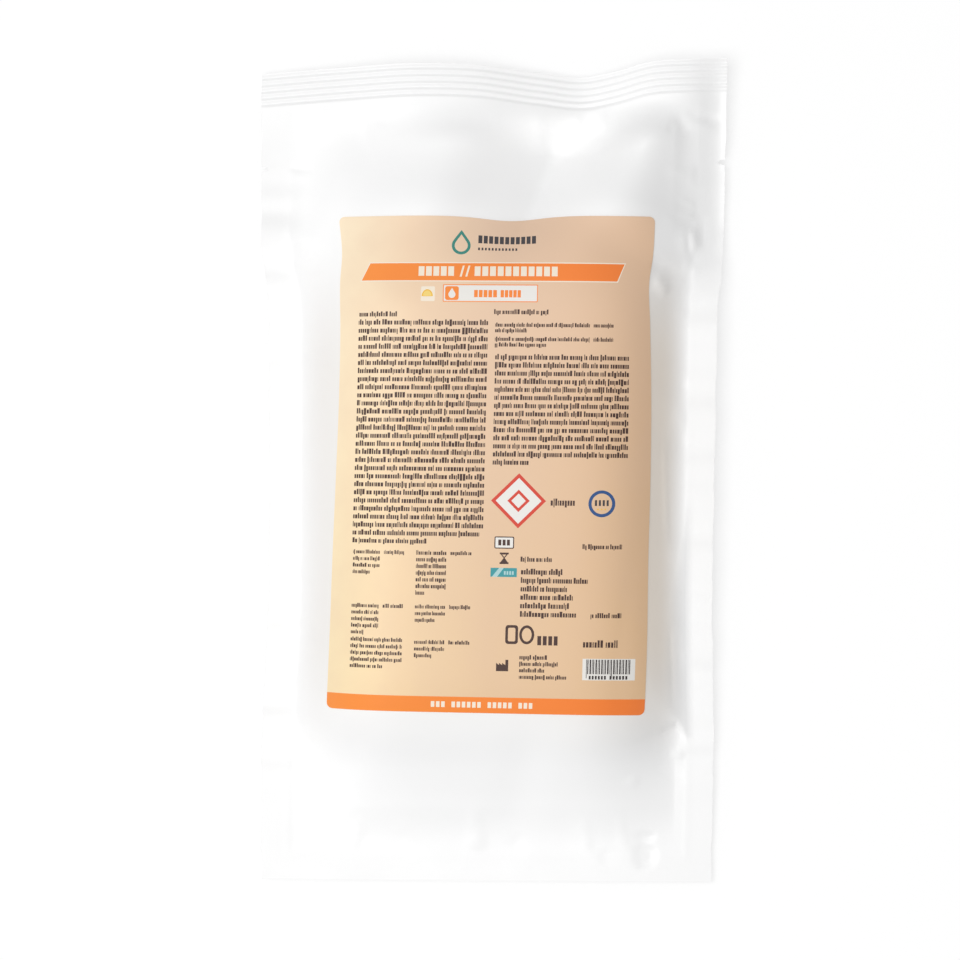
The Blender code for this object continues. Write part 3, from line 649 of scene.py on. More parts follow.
def film_shares(x, y):
    """How much the roll's warm colour and the painted shade toward the right show, and how much painted
    light whitens the loose film.
    """
    low, high = roll_ends()
    along = ramp(y, low + TINT_LOW[0], low + TINT_LOW[1])
    along = along * (1.0 - ramp(y, high + TINT_HIGH[0], high + TINT_HIGH[1]))
    # Painted shade: the roll's warm colour deepens toward the right, where the flank lies in shade
    shade_rightwards = TINT_SHADE_LEFT_SHARE + (1.0 - TINT_SHADE_LEFT_SHARE) * ramp(x, 0.0, TINT_SHADE_RIGHT)
    tint = along * ramp(from_side_seal(x, y), 0.0, TINT_SIDE) * shade_rightwards
    inwards = np.minimum(from_side_seal(x, y), from_end_seal(x, y))
    # Painted light: the loose film past the roll's ends is whitened, less so toward the right
    loose = ramp(inwards, 0.0, LOOSE_PAINTED_LIGHT_START) * (1.0 - along) * (1.0 - ramp(x, *LOOSE_PAINTED_LIGHT_RIGHT))
    return tint, loose


def make_film():
    """Closed mesh of the sealed film, with the shares that its colour, painted shade and painted light
    need.
    """
    x, y = film_plan()
    front = front_height(x, y)
    back = np.minimum(back_height(x, y), front - FILM_RIM)
    count = x.size
    numbers = np.arange(count).reshape(x.shape)
    points = np.concatenate((
        np.stack((x, y, front), axis=2).reshape(-1, 3),
        np.stack((x, y, back), axis=2).reshape(-1, 3),
    ))
    top_rim = rim_loop(numbers)
    under_rim = top_rim + count
    rim = np.stack((under_rim, np.roll(under_rim, -1), np.roll(top_rim, -1), top_rim), axis=1)
    faces = np.concatenate((grid_faces(numbers, False), grid_faces(numbers + count, True), rim))
    mesh = bpy.data.meshes.new("film")
    mesh.from_pydata(points.tolist(), [], faces.tolist())
    mesh.shade_smooth()
    mark_sharp(mesh, (top_rim, under_rim))
    for name, share in zip(("roll_tint_and_shade", "loose_film_painted_light"), film_shares(x, y)):
        made = mesh.attributes.new(name, "FLOAT", "POINT")
        made.data.foreach_set("value", np.concatenate((share.ravel(), share.ravel())))
    film = bpy.data.objects.new("film", mesh)
    bpy.context.scene.collection.objects.link(film)
    return film


# Shapes of the label's print, each a list of (across, up) points in the sheet's millimetres

def bar(left, low, right, high):
    """Rectangle."""
    return [(left, low), (right, low), (right, high), (left, high)]


def ellipse(centre, half_across, half_up, sides):
    """Ellipse as a closed outline."""
    turns = 2.0 * np.pi * np.arange(sides) / sides
    return [(centre[0] + half_across * np.cos(t), centre[1] + half_up * np.sin(t)) for t in turns]


def round_bar(left, low, right, high, corner, steps=4):
    """Rectangle with round corners."""
    points = []
    centres = (
        (right - corner, high - corner),
        (left + corner, high - corner),
        (left + corner, low + corner),
        (right - corner, low + corner),
    )
    for quarter, centre in enumerate(centres):
        for step in range(steps + 1):
            turn = np.pi / 2.0 * (quarter + step / steps)
            points.append((centre[0] + corner * np.cos(turn), centre[1] + corner * np.sin(turn)))
    return points


def diamond(centre, reach):
    """Square standing on its corner."""
    return [
        (centre[0] + reach, centre[1]),
        (centre[0], centre[1] + reach),
        (centre[0] - reach, centre[1]),
        (centre[0], centre[1] - reach),
    ]


def slant_bar(left, low, right, high, shift):
    """Bar whose upper edge is shifted to the right."""
    return [(left, low), (right, low), (right + shift, high), (left + shift, high)]


def droplet(centre, radius, tip):
    """Round drop with its tip up."""
    points = [(centre[0], centre[1] + tip)]
    for turn in np.linspace(np.radians(145.0), np.radians(395.0), 18):
        points.append((centre[0] + radius * np.cos(turn), centre[1] + radius * np.sin(turn)))
    return points


LETTER_WIDTHS = (0.22, 0.40, 0.42, 0.46, 0.62)  # in shares of the letter height, as the next four are
LETTER_GAP = 0.15
WORD_SPACE = 0.36
TALL_LETTER = 1.38
LETTER_TAIL = -0.34
TALL_CHANCE = 0.28
TAIL_CHANCE = 0.09


def print_line(left, right, base, height, rng):
    """Blocks in word groups that stand for one line of print, from left to right edge."""
    blocks = []
    cursor = 0.0
    while cursor < (right - left) / height:
        for _ in range(int(rng.integers(2, 12))):
            width = rng.choice(LETTER_WIDTHS)
            top = TALL_LETTER if rng.random() < TALL_CHANCE else 1.0
            low = LETTER_TAIL if rng.random() < TAIL_CHANCE else 0.0
            blocks.append((cursor, cursor + width, low, top))
            cursor += width + LETTER_GAP
        cursor += WORD_SPACE
    fitted = (right - left) / (blocks[-1][1] * height)
    shapes = []
    for start, end, low, top in blocks:
        place = left + start * height * fitted
        far = left + end * height * fitted
        shapes.append(bar(place, base + low * height, far, base + top * height))
    return shapes


def capital_line(left, right, low, high, count, gap_share, breaks=()):
    """Even blocks of full height that stand for a line in large print."""
    step = (right - left) / count
    shapes = []
    for number in range(count):
        if number not in breaks:
            start = left + number * step
            shapes.append(bar(start, low, start + step * (1.0 - gap_share), high))
    return shapes


# Rows of small print: left, right, first row's middle, pitch, rows, letter height, last row's right
SMALL_PRINT = (
    (8.6, 24.6, 163.75, 3.34, 1, 1.50, 24.6),
    (8.3, 62.0, 160.45, 3.34, 27, 1.62, 60.5),
    (8.4, 38.9, 70.30, 3.34, 1, 1.50, 38.9),
    (64.4, 86.7, 164.90, 3.34, 1, 1.45, 86.7),
    (65.0, 103.8, 159.60, 2.30, 2, 1.25, 78.0),
    (105.4, 113.6, 159.60, 2.30, 1, 1.25, 113.6),
    (65.0, 103.8, 153.80, 2.35, 2, 1.25, 86.0),
    (105.4, 113.6, 153.80, 2.35, 1, 1.25, 113.6),
    (65.3, 120.5, 146.40, 3.32, 14, 1.64, 80.0),
    (89.5, 99.4, 87.00, 3.3, 1, 2.10, 99.4),
    (103.0, 119.1, 69.00, 3.3, 1, 1.45, 119.1),
    (77.7, 90.5, 63.50, 3.3, 1, 1.50, 90.5),
    (78.0, 95.0, 58.40, 3.46, 1, 1.75, 95.0),
    (78.0, 105.5, 54.90, 3.46, 1, 1.72, 105.5),
    (78.0, 97.0, 51.40, 3.46, 1, 1.72, 97.0),
    (78.0, 99.5, 48.00, 3.46, 1, 1.72, 99.5),
    (78.0, 98.0, 44.50, 3.46, 1, 1.72, 98.0),
    (78.0, 101.0, 41.00, 3.46, 1, 1.70, 101.0),
    (107.0, 119.4, 40.80, 3.3, 1, 1.50, 119.4),
    (104.2, 118.2, 29.10, 3.3, 1, 2.20, 118.2),
    (78.2, 89.5, 23.30, 2.70, 1, 1.35, 89.5),
    (78.2, 94.0, 20.60, 2.70, 1, 1.25, 94.0),
    (78.2, 88.5, 17.95, 2.70, 1, 1.25, 88.5),
    (78.2, 97.6, 15.25, 2.70, 1, 1.25, 97.6),
    (8.9, 20.0, 65.60, 2.75, 4, 1.20, 16.0),
    (21.7, 29.9, 65.60, 2.75, 1, 1.20, 29.9),
    (8.9, 20.0, 43.40, 2.75, 5, 1.20, 14.0),
    (21.7, 29.9, 43.40, 2.75, 1, 1.20, 29.9),
    (8.9, 29.9, 29.40, 2.75, 5, 1.20, 22.0),
    (34.9, 47.2, 65.60, 2.75, 7, 1.34, 38.5),
    (48.9, 57.5, 65.60, 2.75, 1, 1.20, 57.5),
    (34.9, 47.2, 43.40, 2.75, 3, 1.20, 43.0),
    (48.9, 57.5, 43.40, 2.75, 1, 1.20, 57.5),
    (34.9, 47.2, 28.80, 2.75, 3, 1.20, 42.0),
    (48.9, 57.5, 28.80, 2.75, 1, 1.20, 57.5),
)
PRINT_SEED = 21
TITLE_BAND = ((9.4, 177.8), (114.9, 177.8), (118.0, 185.0), (12.9, 185.0))
TITLE_LINE = 0.45
FOOTER_TOP = 6.6
LOZENGE_CENTRE = (76.3, 87.5)
RING_CENTRE = (110.5, 86.7)


def small_print():
    """All rows of small print."""
    rng = np.random.default_rng(PRINT_SEED)
    fields = []
    for left, right, middle, pitch, rows, height, last_right in SMALL_PRINT:
        for row in range(rows):
            end = last_right if row == rows - 1 else right
            base = middle - pitch * row - 0.6 * height
            fields += [("dark", shape) for shape in print_line(left, end, base, height, rng)]
    return fields


def heading_print():
    """Drop emblem, name blocks, title band, chip and box at the top of the label."""
    fields = [("green", droplet((50.2, 192.6), 3.9, 6.7))]
    fields.append(("peach", droplet((50.2, 192.6), 2.7, 4.8)))
    fields += [("slate", shape) for shape in capital_line(57.2, 81.6, 193.9, 197.5, 11, 0.26)]
    fields += [("slate", shape) for shape in capital_line(57.2, 74.0, 190.7, 191.9, 12, 0.45)]
    low, high = TITLE_BAND[0][1], TITLE_BAND[2][1]
    grow = TITLE_LINE
    outer = [
        (TITLE_BAND[0][0] - 1.3 * grow, low - grow),
        (TITLE_BAND[1][0] + 0.8 * grow, low - grow),
        (TITLE_BAND[2][0] + 1.3 * grow, high + grow),
        (TITLE_BAND[3][0] - 0.8 * grow, high + grow),
    ]
    fields.append(("cream", outer))
    fields.append(("orange", list(TITLE_BAND)))
    fields += [("cream", shape) for shape in capital_line(33.0, 48.2, 179.7, 183.7, 5, 0.22)]
    fields += [("cream", slant_bar(49.9 + 2.3 * n, 179.4, 50.7 + 2.3 * n, 184.0, 1.2)) for n in (0, 1)]
    fields += [("cream", shape) for shape in capital_line(56.0, 90.9, 179.7, 183.7, 11, 0.24)]
    fields.append(("cream", round_bar(34.2, 169.2, 39.9, 175.3, 0.5)))
    slice_points = ellipse((36.8, 171.2), 2.3, 2.9, 28)
    fields.append(("yellow", [point for point in slice_points if point[1] >= 171.19]))
    slice_points = ellipse((36.8, 171.4), 1.75, 2.2, 28)
    fields.append(("lemon", [point for point in slice_points if point[1] >= 171.39]))
    fields.append(("orange", round_bar(43.2, 169.0, 82.2, 176.2, 0.3)))
    fields.append(("white", bar(43.55, 169.35, 81.85, 175.85)))
    fields.append(("orange", round_bar(44.1, 169.7, 49.7, 175.4, 0.9)))
    fields.append(("white", droplet((46.9, 172.0), 1.45, 2.7)))
    fields += [("orange", shape) for shape in capital_line(56.0, 65.8, 170.9, 173.9, 5, 0.22)]
    fields += [("orange", shape) for shape in capital_line(66.9, 75.6, 170.9, 173.9, 5, 0.22)]
    return fields


def sign_print():
    """Plain signs of the right column: lozenge, ring, boxed bars, hourglass, plate and stepped block."""
    fields = [("red", diamond(LOZENGE_CENTRE, 11.3))]
    fields.append(("white", diamond(LOZENGE_CENTRE, 9.4)))
    fields.append(("red", diamond(LOZENGE_CENTRE, 4.6)))
    fields.append(("white", diamond(LOZENGE_CENTRE, 3.0)))
    fields.append(("navy", ellipse(RING_CENTRE, 5.5, 5.5, 40)))
    fields.append(("peach", ellipse(RING_CENTRE, 4.2, 4.2, 36)))
    for place in (-2.4, -0.8, 0.8, 2.4):
        centre = RING_CENTRE[0] + place
        block = bar(centre - 0.45, RING_CENTRE[1] - 0.9, centre + 0.45, RING_CENTRE[1] + 1.5)
        fields.append(("slate", block))
    for place in (-1.5, 0.0, 1.5):
        fields.append(("yellow", ellipse((RING_CENTRE[0] + place, RING_CENTRE[1] - 2.3), 0.35, 0.35, 8)))
    fields.append(("dark", round_bar(66.8, 67.8, 74.9, 72.8, 0.6)))
    fields.append(("white", round_bar(67.25, 68.25, 74.45, 72.35, 0.3)))
    fields += [("dark", shape) for shape in capital_line(68.4, 73.7, 69.1, 71.5, 3, 0.3)]
    fields.append(("dark", [(69.1, 66.2), (69.1, 65.5), (72.8, 65.5), (72.8, 66.2)]))
    fields.append(("dark", [(69.4, 65.6), (70.75, 63.9), (71.15, 63.9), (72.5, 65.6)]))
    fields.append(("peach", [(70.1, 65.4), (70.95, 64.35), (71.8, 65.4)]))
    fields.append(("dark", [(70.75, 64.0), (69.4, 62.2), (72.5, 62.2), (71.15, 64.0)]))
    fields.append(("dark", bar(69.1, 61.5, 72.8, 62.2)))
    fields.append(("teal", bar(65.5, 56.2, 76.3, 59.9)))
    fields.append(("pale_teal", [(66.1, 56.2), (68.2, 56.2), (70.9, 59.9), (69.0, 59.9)]))
    fields += [("pale_teal", shape) for shape in capital_line(71.0, 75.4, 57.1, 58.6, 4, 0.35)]
    fields.append(("dark", round_bar(72.2, 28.7, 77.4, 36.5, 1.2)))
    fields.append(("peach", round_bar(73.3, 29.8, 76.3, 35.4, 0.6)))
    fields.append(("dark", ellipse((81.0, 32.6), 3.1, 3.9, 28)))
    fields.append(("peach", ellipse((81.0, 32.6), 2.0, 2.8, 24)))
    fields += [("dark", shape) for shape in capital_line(85.4, 94.4, 28.4, 32.2, 4, 0.3)]
    steps = [(68.7, 17.5), (73.7, 17.5), (73.7, 22.2), (72.5, 22.2), (72.5, 20.0), (71.2, 20.9)]
    fields.append(("dark", steps + [(71.2, 20.0), (69.9, 20.9), (69.9, 20.0), (68.7, 20.9)]))
    return fields


def stripe_print():
    """Box of stripes whose widths follow a plain formula."""
    fields = [("white", bar(104.2, 14.4, 125.4, 23.2))]
    across = 105.7
    number = 0
    while across < 123.6:
        width = 0.26 + 0.17 * (number * 7 % 3)
        low = 15.2 if number % 13 == 0 else 16.9
        fields.append(("ink", bar(across, low, across + width, 22.9)))
        across += width + 0.24 + 0.13 * (number * 5 % 3)
        number += 1
    fields += [("ink", shape) for shape in capital_line(106.9, 114.4, 14.75, 16.25, 6, 0.38)]
    fields += [("ink", shape) for shape in capital_line(115.4, 122.9, 14.75, 16.25, 6, 0.38)]
    return fields


def label_print():
    """All fields of the label in paint order, each an ink's name and an outline."""
    fields = [("peach", round_bar(0.0, 0.0, SHEET_WIDTH, SHEET_LENGTH, LABEL_CORNER, 6))]
    fields.append(("orange", bar(0.0, 0.0, SHEET_WIDTH, FOOTER_TOP)))
    fields += [("cream", shape) for shape in capital_line(42.3, 84.7, 2.2, 4.6, 20, 0.32, (3, 10, 16))]
    return fields + heading_print() + small_print() + sign_print() + stripe_print()


# Label mesh

def in_steps(outline):
    """Outline whose long edges are split, so that they follow the film's form."""
    points = []
    for start, end in zip(outline, outline[1:] + outline[:1]):
        run = np.subtract(end, start)
        steps = max(1, int(np.ceil(np.hypot(*run) / LABEL_STEP)))
        points += [tuple(np.add(start, run * step / steps)) for step in range(steps)]
    return points


def flat_label():
    """Flat points and triangles of the label in sheet millimetres, each triangle with its field's ink."""
    fields = [(ink, in_steps(outline)) for ink, outline in label_print()]
    points = []
    faces = []
    for _, outline in fields:
        faces.append(list(range(len(points), len(points) + len(outline))))
        points += [Vector(point) for point in outline]
    across = np.arange(LABEL_STEP, SHEET_WIDTH - 0.4 * LABEL_STEP, LABEL_STEP)
    along = np.arange(LABEL_STEP, SHEET_LENGTH - 0.4 * LABEL_STEP, LABEL_STEP)
    inner = np.stack(np.meshgrid(across, along), axis=2).reshape(-1, 2)
    points += [Vector(point) for point in inner.tolist()]
    verts, _, triangles, _, _, owners = delaunay_2d_cdt(points, [], faces, 0, 1e-4)
    inside = [(tri, max(owner)) for tri, owner in zip(triangles, owners) if 0 in owner]
    used = sorted({corner for tri, _ in inside for corner in tri})
    new_number = {corner: number for number, corner in enumerate(used)}
    flat = np.array([verts[corner][:] for corner in used])
    tris = np.array([[new_number[corner] for corner in tri] for tri, _ in inside])
    return flat, tris, [fields[owner][0] for _, owner in inside]


def label_bow(u, y):
    """Shift across the pack of the label's edges, which bow where the film turns down beside them."""
    left = smooth_curve([(place, shift) for place, shift, _ in LABEL_BOW], y)
    right = smooth_curve([(place, shift) for place, _, shift in LABEL_BOW], y)
    near_left = 1.0 - ramp(u, 0.0, LABEL_BOW_REACH)
    near_right = ramp(u, 1.0 - LABEL_BOW_REACH, 1.0)
    return left * near_left + right * near_right


def place_on_film(flat):
    """Points of the film under flat label points, and its normals there."""
    u = flat[:, 0] / SHEET_WIDTH
    v = flat[:, 1] / SHEET_LENGTH
    top = LABEL_CENTRE[1] + LABEL_LENGTH / 2.0
    y = LABEL_CENTRE[1] + (v - 0.5) * LABEL_LENGTH
    for _ in range(4):
        x = label_side(y, -1.0) + u * LABEL_WIDTH + label_bow(u, y)
        lines = row_lines(x)
        y = lines[2] + v * (top - lines[2]) - ramp(v, DIP_STARTS, 1.0) * (top - lines[3])
    step = 0.5 * MM
    z = front_height(x, y)
    slope_x = (front_height(x + step, y) - front_height(x - step, y)) / (2.0 * step)
    slope_y = (front_height(x, y + step) - front_height(x, y - step)) / (2.0 * step)
    normal = np.stack((-slope_x, -slope_y, np.ones_like(z)), axis=1)
    normal /= np.linalg.norm(normal, axis=1, keepdims=True)
    return np.stack((x, y, z), axis=1), normal


def make_label():
    """Closed thin mesh of the printed label."""
    flat, tris, inks = flat_label()
    place, normal = place_on_film(flat)
    count = len(flat)
    points = np.concatenate((place + normal * (LABEL_GAP + LABEL_THICKNESS), place + normal * LABEL_GAP))
    directed = {(a, b) for tri in tris.tolist() for a, b in zip(tri, tri[1:] + tri[:1])}
    border = [edge for edge in directed if (edge[1], edge[0]) not in directed]
    border.sort()
    walls = [(a + count, b + count, b, a) for a, b in border]
    faces = tris.tolist() + (tris[:, ::-1] + count).tolist() + walls
    mesh = bpy.data.meshes.new("label")
    mesh.from_pydata(points.tolist(), [], faces)
    mesh.shade_smooth()
    names = list(INKS)
    slots = [names.index(ink) for ink in inks]
    slots += [0] * (len(faces) - len(slots))
    mesh.polygons.foreach_set("material_index", slots)
    uv = mesh.uv_layers.new(name="sheet")
    corners = np.empty(len(mesh.loops), dtype=np.int32)
    mesh.loops.foreach_get("vertex_index", corners)
    sheet = flat / np.array((SHEET_WIDTH, SHEET_LENGTH))
    uv.data.foreach_set("uv", np.concatenate((sheet, sheet))[corners].ravel())
    corner_normals = np.concatenate((normal, -normal))[corners]
    wall_start = 3 * 2 * len(tris)
    for number, face in enumerate(mesh.polygons[2 * len(tris):]):
        corner_normals[wall_start + 4 * number:wall_start + 4 * number + 4] = face.normal
    mesh.normals_split_custom_set(corner_normals.tolist())
    label = bpy.data.objects.new("label", mesh)
    bpy.context.scene.collection.objects.link(label)
    return label


# Materials

INKS = {                           # colour of each ink and its roughness
    "peach": ((0.81, 0.57, 0.41), 0.58),
    "orange": ((0.91, 0.25, 0.052), 0.55),
    "cream": ((0.90, 0.80, 0.66), 0.50),
    "white": ((0.82, 0.80, 0.76), 0.50),
    "dark": ((0.055, 0.026, 0.020), 0.52),
    "ink": ((0.030, 0.022, 0.022), 0.52),
    "slate": ((0.055, 0.05, 0.055), 0.52),
    "green": ((0.05, 0.24, 0.20), 0.50),
    "teal": ((0.05, 0.30, 0.33), 0.50),
    "pale_teal": ((0.42, 0.62, 0.62), 0.50),
    "red": ((0.64, 0.06, 0.035), 0.48),
    "navy": ((0.035, 0.09, 0.24), 0.50),
    "yellow": ((0.85, 0.50, 0.06), 0.50),
    "lemon": ((0.90, 0.66, 0.20), 0.50),
}
FILM_COLOUR = (0.875, 0.875, 0.875, 1.0)
# painted light: whiter film laid on the loose film past the roll's ends
FILM_LOOSE_PAINTED_LIGHT = (0.935, 0.935, 0.935, 1.0)
# warm colour of the roll seen through the film, darkened as painted shade for the shaded right flank
FILM_ROLL_TINT_AND_SHADE = (0.82, 0.745, 0.66, 1.0)
FILM_MOTTLE = (0.80, 0.80, 0.80, 1.0)
FILM_ROUGHNESS = (0.30, 0.38)
FILM_IOR = 1.42
LABEL_IOR = 1.38
PLAIN_WHITE = (1.0, 1.0, 1.0, 1.0)


def node(tree, kind, **inputs):
    """Adds a shader node and sets some of its inputs by name."""
    made = tree.nodes.new(kind)
    for name, value in inputs.items():
        made.inputs[name.replace("_", " ")].default_value = value
    return made


def noise(tree, coordinates, scale, detail=3.0):
    """Noise at a scale in cycles a metre, over the given coordinates."""
    made = node(tree, "ShaderNodeTexNoise", Scale=scale, Detail=detail)
    tree.links.new(coordinates, made.inputs["Vector"])
    return made.outputs["Fac"]


def spread(tree, factor, low, high):
    """Maps a noise factor to a narrow range of values."""
    made = node(tree, "ShaderNodeMapRange", From_Min=0.3, From_Max=0.7, To_Min=low, To_Max=high)
    tree.links.new(factor, made.inputs["Value"])
    return made.outputs["Result"]


def mix_colour(tree, factor, first, second):
    """Mixes two colours, each a value or a socket."""
    made = tree.nodes.new("ShaderNodeMix")
    made.data_type = "RGBA"
    for socket, value in ((made.inputs[6], first), (made.inputs[7], second)):
        if isinstance(value, bpy.types.NodeSocket):
            tree.links.new(value, socket)
        else:
            socket.default_value = value
    tree.links.new(factor, made.inputs[0])
    return made.outputs[2]


def bump(tree, height, strength, distance, under=None):
    """Bump from a height, over an earlier bump if there is one."""
    made = node(tree, "ShaderNodeBump", Strength=strength, Distance=distance)
    tree.links.new(height, made.inputs["Height"])
    if under is not None:
        tree.links.new(under, made.inputs["Normal"])
    return made.outputs["Normal"]


def film_material():
    """Satin white film, a little warmer where it lies over the roll, with painted shade that deepens that
    warmth toward the right and painted light that whitens the loose film.
    """
    made = bpy.data.materials.new("white_film")
    made.use_nodes = True
    tree = made.node_tree
    shader = tree.nodes["Principled BSDF"]
    place = tree.nodes.new("ShaderNodeTexCoord").outputs["Object"]
    cloud = noise(tree, place, 38.0, 4.0)
    grain = noise(tree, place, 1500.0, 2.0)
    roll_tint_and_shade = tree.nodes.new("ShaderNodeAttribute")
    roll_tint_and_shade.attribute_name = "roll_tint_and_shade"
    loose = tree.nodes.new("ShaderNodeAttribute")
    loose.attribute_name = "loose_film_painted_light"
    # Painted light that whitens the loose film
    colour = mix_colour(tree, loose.outputs["Fac"], FILM_COLOUR, FILM_LOOSE_PAINTED_LIGHT)
    # Warm colour over the roll, deepened toward the right as painted shade
    colour = mix_colour(tree, roll_tint_and_shade.outputs["Fac"], colour, FILM_ROLL_TINT_AND_SHADE)
    mottled = mix_colour(tree, spread(tree, cloud, 0.0, 0.05), colour, FILM_MOTTLE)
    tree.links.new(mottled, shader.inputs["Base Color"])
    tree.links.new(spread(tree, cloud, *FILM_ROUGHNESS), shader.inputs["Roughness"])
    fine = bump(tree, grain, 0.10, 0.00004)
    tree.links.new(bump(tree, cloud, 0.22, 0.0006, fine), shader.inputs["Normal"])
    shader.inputs["IOR"].default_value = FILM_IOR
    return made


ACROSS_TONES_LIGHT_AND_SHADE = {                   # tones of an ink at places from the sheet's left edge to its right: partly the print's own gradient, partly painted light at the left and painted shade toward the right
    "peach": (
        (0.0, (0.965, 0.80, 0.585)),
        (0.22, (0.905, 0.68, 0.485)),
        (0.50, (0.80, 0.57, 0.42)),
        (1.0, (0.78, 0.525, 0.355)),
    ),
    "orange": ((0.0, (0.93, 0.29, 0.060)), (1.0, (0.93, 0.222, 0.046))),
}
ALONG_TONES = ((0.0, (0.97, 0.96, 0.81)), (0.6, (0.98, 0.98, 0.92)), (1.0, (0.98, 1.0, 1.0)))


def tone_ramp(tree, axis, tones):
    """Colour that changes along one axis of the sheet."""
    sheet = tree.nodes.new("ShaderNodeUVMap")
    sheet.uv_map = "sheet"
    parts = tree.nodes.new("ShaderNodeSeparateXYZ")
    tree.links.new(sheet.outputs["UV"], parts.inputs["Vector"])
    made = tree.nodes.new("ShaderNodeValToRGB")
    stops = made.color_ramp.elements
    stops[0].position = tones[0][0]
    stops[0].color = (*tones[0][1], 1.0)
    stops[1].position = tones[-1][0]
    stops[1].color = (*tones[-1][1], 1.0)
    for place, tone in tones[1:-1]:
        stops.new(place).color = (*tone, 1.0)
    tree.links.new(parts.outputs[axis], made.inputs["Fac"])
    return made.outputs["Color"]


def sheet_colour_light_and_shade(tree, name):
    """Colour of an ink that is creamier at the left and deeper to the right and bottom; the change across
    is partly the print's own gradient and partly painted light at the left and painted shade at the right.
    """
    whole = tree.nodes.new("ShaderNodeMix")
    whole.data_type = "RGBA"
    whole.blend_type = "MULTIPLY"
    whole.inputs[0].default_value = 1.0
    tree.links.new(tone_ramp(tree, "X", ACROSS_TONES_LIGHT_AND_SHADE[name]), whole.inputs[6])
    tree.links.new(tone_ramp(tree, "Y", ALONG_TONES), whole.inputs[7])
    return whole.outputs[2]


def ink_material(name):
    """Printed label stock in one ink, with a faint paper grain."""
    colour, roughness = INKS[name]
    made = bpy.data.materials.new("label_" + name)
    made.use_nodes = True
    tree = made.node_tree
    shader = tree.nodes["Principled BSDF"]
    place = tree.nodes.new("ShaderNodeTexCoord").outputs["Object"]
    grain = noise(tree, place, 1100.0, 3.0)
    cloud = noise(tree, place, 55.0, 3.0)
    # Peach and orange carry painted light at the sheet's left and painted shade toward its right
    base = sheet_colour_light_and_shade(tree, name) if name in ACROSS_TONES_LIGHT_AND_SHADE else (*colour, 1.0)
    darker = tuple(0.93 * value for value in colour) + (1.0,)
    mottled = mix_colour(tree, spread(tree, cloud, 0.0, 0.22), base, darker)
    tree.links.new(mottled, shader.inputs["Base Color"])
    tree.links.new(spread(tree, grain, roughness - 0.04, roughness + 0.04), shader.inputs["Roughness"])
    tree.links.new(bump(tree, grain, 0.12, 0.00003), shader.inputs["Normal"])
    shader.inputs["IOR"].default_value = LABEL_IOR
    return made


# Floor, light and camera

FLOOR_HALF = 3.0
FLOOR_COLOUR = (0.80, 0.80, 0.80, 1.0)
FLOOR_GLOW = 0.72                  # share of plain white in what the camera sees of the floor
WORLD_LIGHT = 0.375
KEY_PLACE = (-1.04, -0.24, 3.21)
KEY_SIZE = 2.7
KEY_POWER = 93.5
CAMERA_XY = (-5.9 * MM, -3.7 * MM)
CAMERA_HEIGHT = 2.199
CAMERA_LENS = 200.0
CAMERA_SENSOR = 36.0


def seen_rays(tree):
    """Sockets that are 1 on the rays that the plain background shows on, and on camera rays alone."""
    rays = tree.nodes.new("ShaderNodeLightPath")
    first = tree.nodes.new("ShaderNodeMath")
    first.operation = "MAXIMUM"
    second = tree.nodes.new("ShaderNodeMath")
    second.operation = "MAXIMUM"
    tree.links.new(rays.outputs["Is Camera Ray"], first.inputs[0])
    tree.links.new(rays.outputs["Is Glossy Ray"], first.inputs[1])
    tree.links.new(first.outputs[0], second.inputs[0])
    tree.links.new(rays.outputs["Is Transmission Ray"], second.inputs[1])
    return second.outputs[0], rays.outputs["Is Camera Ray"]


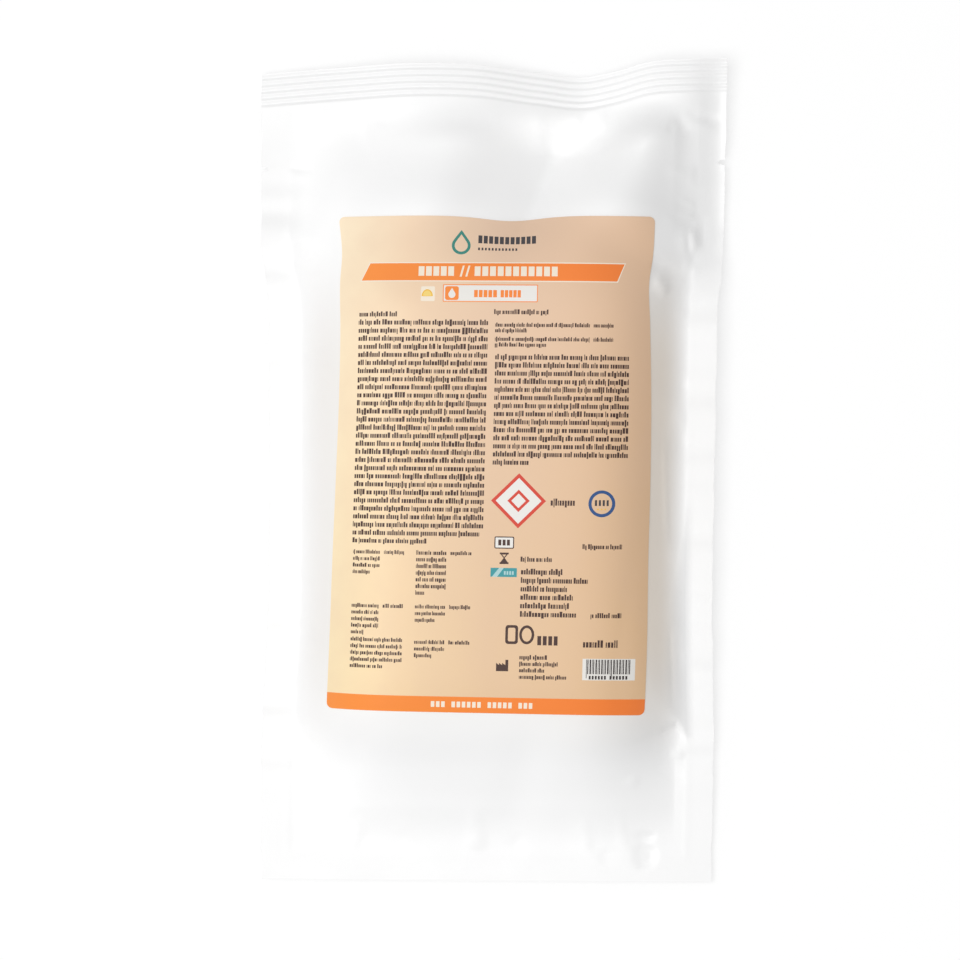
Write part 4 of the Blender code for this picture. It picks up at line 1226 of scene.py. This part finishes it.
def make_floor():
    """Plain pale floor that keeps a soft shadow."""
    points = [(-FLOOR_HALF, -FLOOR_HALF, 0.0), (FLOOR_HALF, -FLOOR_HALF, 0.0)]
    points += [(FLOOR_HALF, FLOOR_HALF, 0.0), (-FLOOR_HALF, FLOOR_HALF, 0.0)]
    mesh = bpy.data.meshes.new("floor")
    mesh.from_pydata(points, [], [(0, 1, 2, 3)])
    floor = bpy.data.objects.new("floor", mesh)
    bpy.context.scene.collection.objects.link(floor)
    made = bpy.data.materials.new("floor")
    made.use_nodes = True
    tree = made.node_tree
    tree.nodes.clear()
    output = tree.nodes.new("ShaderNodeOutputMaterial")
    diffuse = tree.nodes.new("ShaderNodeBsdfDiffuse")
    glow = node(tree, "ShaderNodeEmission", Color=PLAIN_WHITE, Strength=1.0)
    blend = tree.nodes.new("ShaderNodeMixShader")
    seen, camera_ray = seen_rays(tree)
    tree.links.new(mix_colour(tree, seen, FLOOR_COLOUR, PLAIN_WHITE), diffuse.inputs["Color"])
    share = node(tree, "ShaderNodeMapRange", To_Max=FLOOR_GLOW)
    tree.links.new(camera_ray, share.inputs["Value"])
    tree.links.new(share.outputs["Result"], blend.inputs["Fac"])
    tree.links.new(diffuse.outputs[0], blend.inputs[1])
    tree.links.new(glow.outputs[0], blend.inputs[2])
    tree.links.new(blend.outputs[0], output.inputs["Surface"])
    mesh.materials.append(made)


def make_world():
    """Dim, even, white light from all around, seen as plain white."""
    world = bpy.data.worlds.new("studio")
    world.use_nodes = True
    bpy.context.scene.world = world
    tree = world.node_tree
    background = tree.nodes["Background"]
    background.inputs["Color"].default_value = PLAIN_WHITE
    seen, camera_ray = seen_rays(tree)
    strength = node(tree, "ShaderNodeMapRange", To_Min=WORLD_LIGHT, To_Max=1.0)
    tree.links.new(seen, strength.inputs["Value"])
    tree.links.new(strength.outputs["Result"], background.inputs["Strength"])


def make_key():
    """Large soft lamp on the left."""
    lamp = bpy.data.lights.new("key", "AREA")
    lamp.shape = "SQUARE"
    lamp.size = KEY_SIZE
    lamp.energy = KEY_POWER
    key = bpy.data.objects.new("key", lamp)
    key.location = KEY_PLACE
    key.rotation_euler = (-Vector(KEY_PLACE)).to_track_quat("-Z", "Y").to_euler()
    bpy.context.scene.collection.objects.link(key)


def make_camera():
    """Camera straight above the pack."""
    lens = bpy.data.cameras.new("camera")
    lens.lens = CAMERA_LENS
    lens.sensor_width = CAMERA_SENSOR
    camera = bpy.data.objects.new("camera", lens)
    camera.location = (*CAMERA_XY, CAMERA_HEIGHT)
    bpy.context.scene.collection.objects.link(camera)
    bpy.context.scene.camera = camera


# Scene

film = make_film()
film.data.materials.append(film_material())
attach(film, "root")
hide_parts("sealed_pouch")

label = make_label()
for ink_name in INKS:
    label.data.materials.append(ink_material(ink_name))
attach(label, "root")
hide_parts("front_label")

make_floor()
make_world()
make_key()
make_camera()
bpy.context.scene.view_settings.view_transform = "Standard"
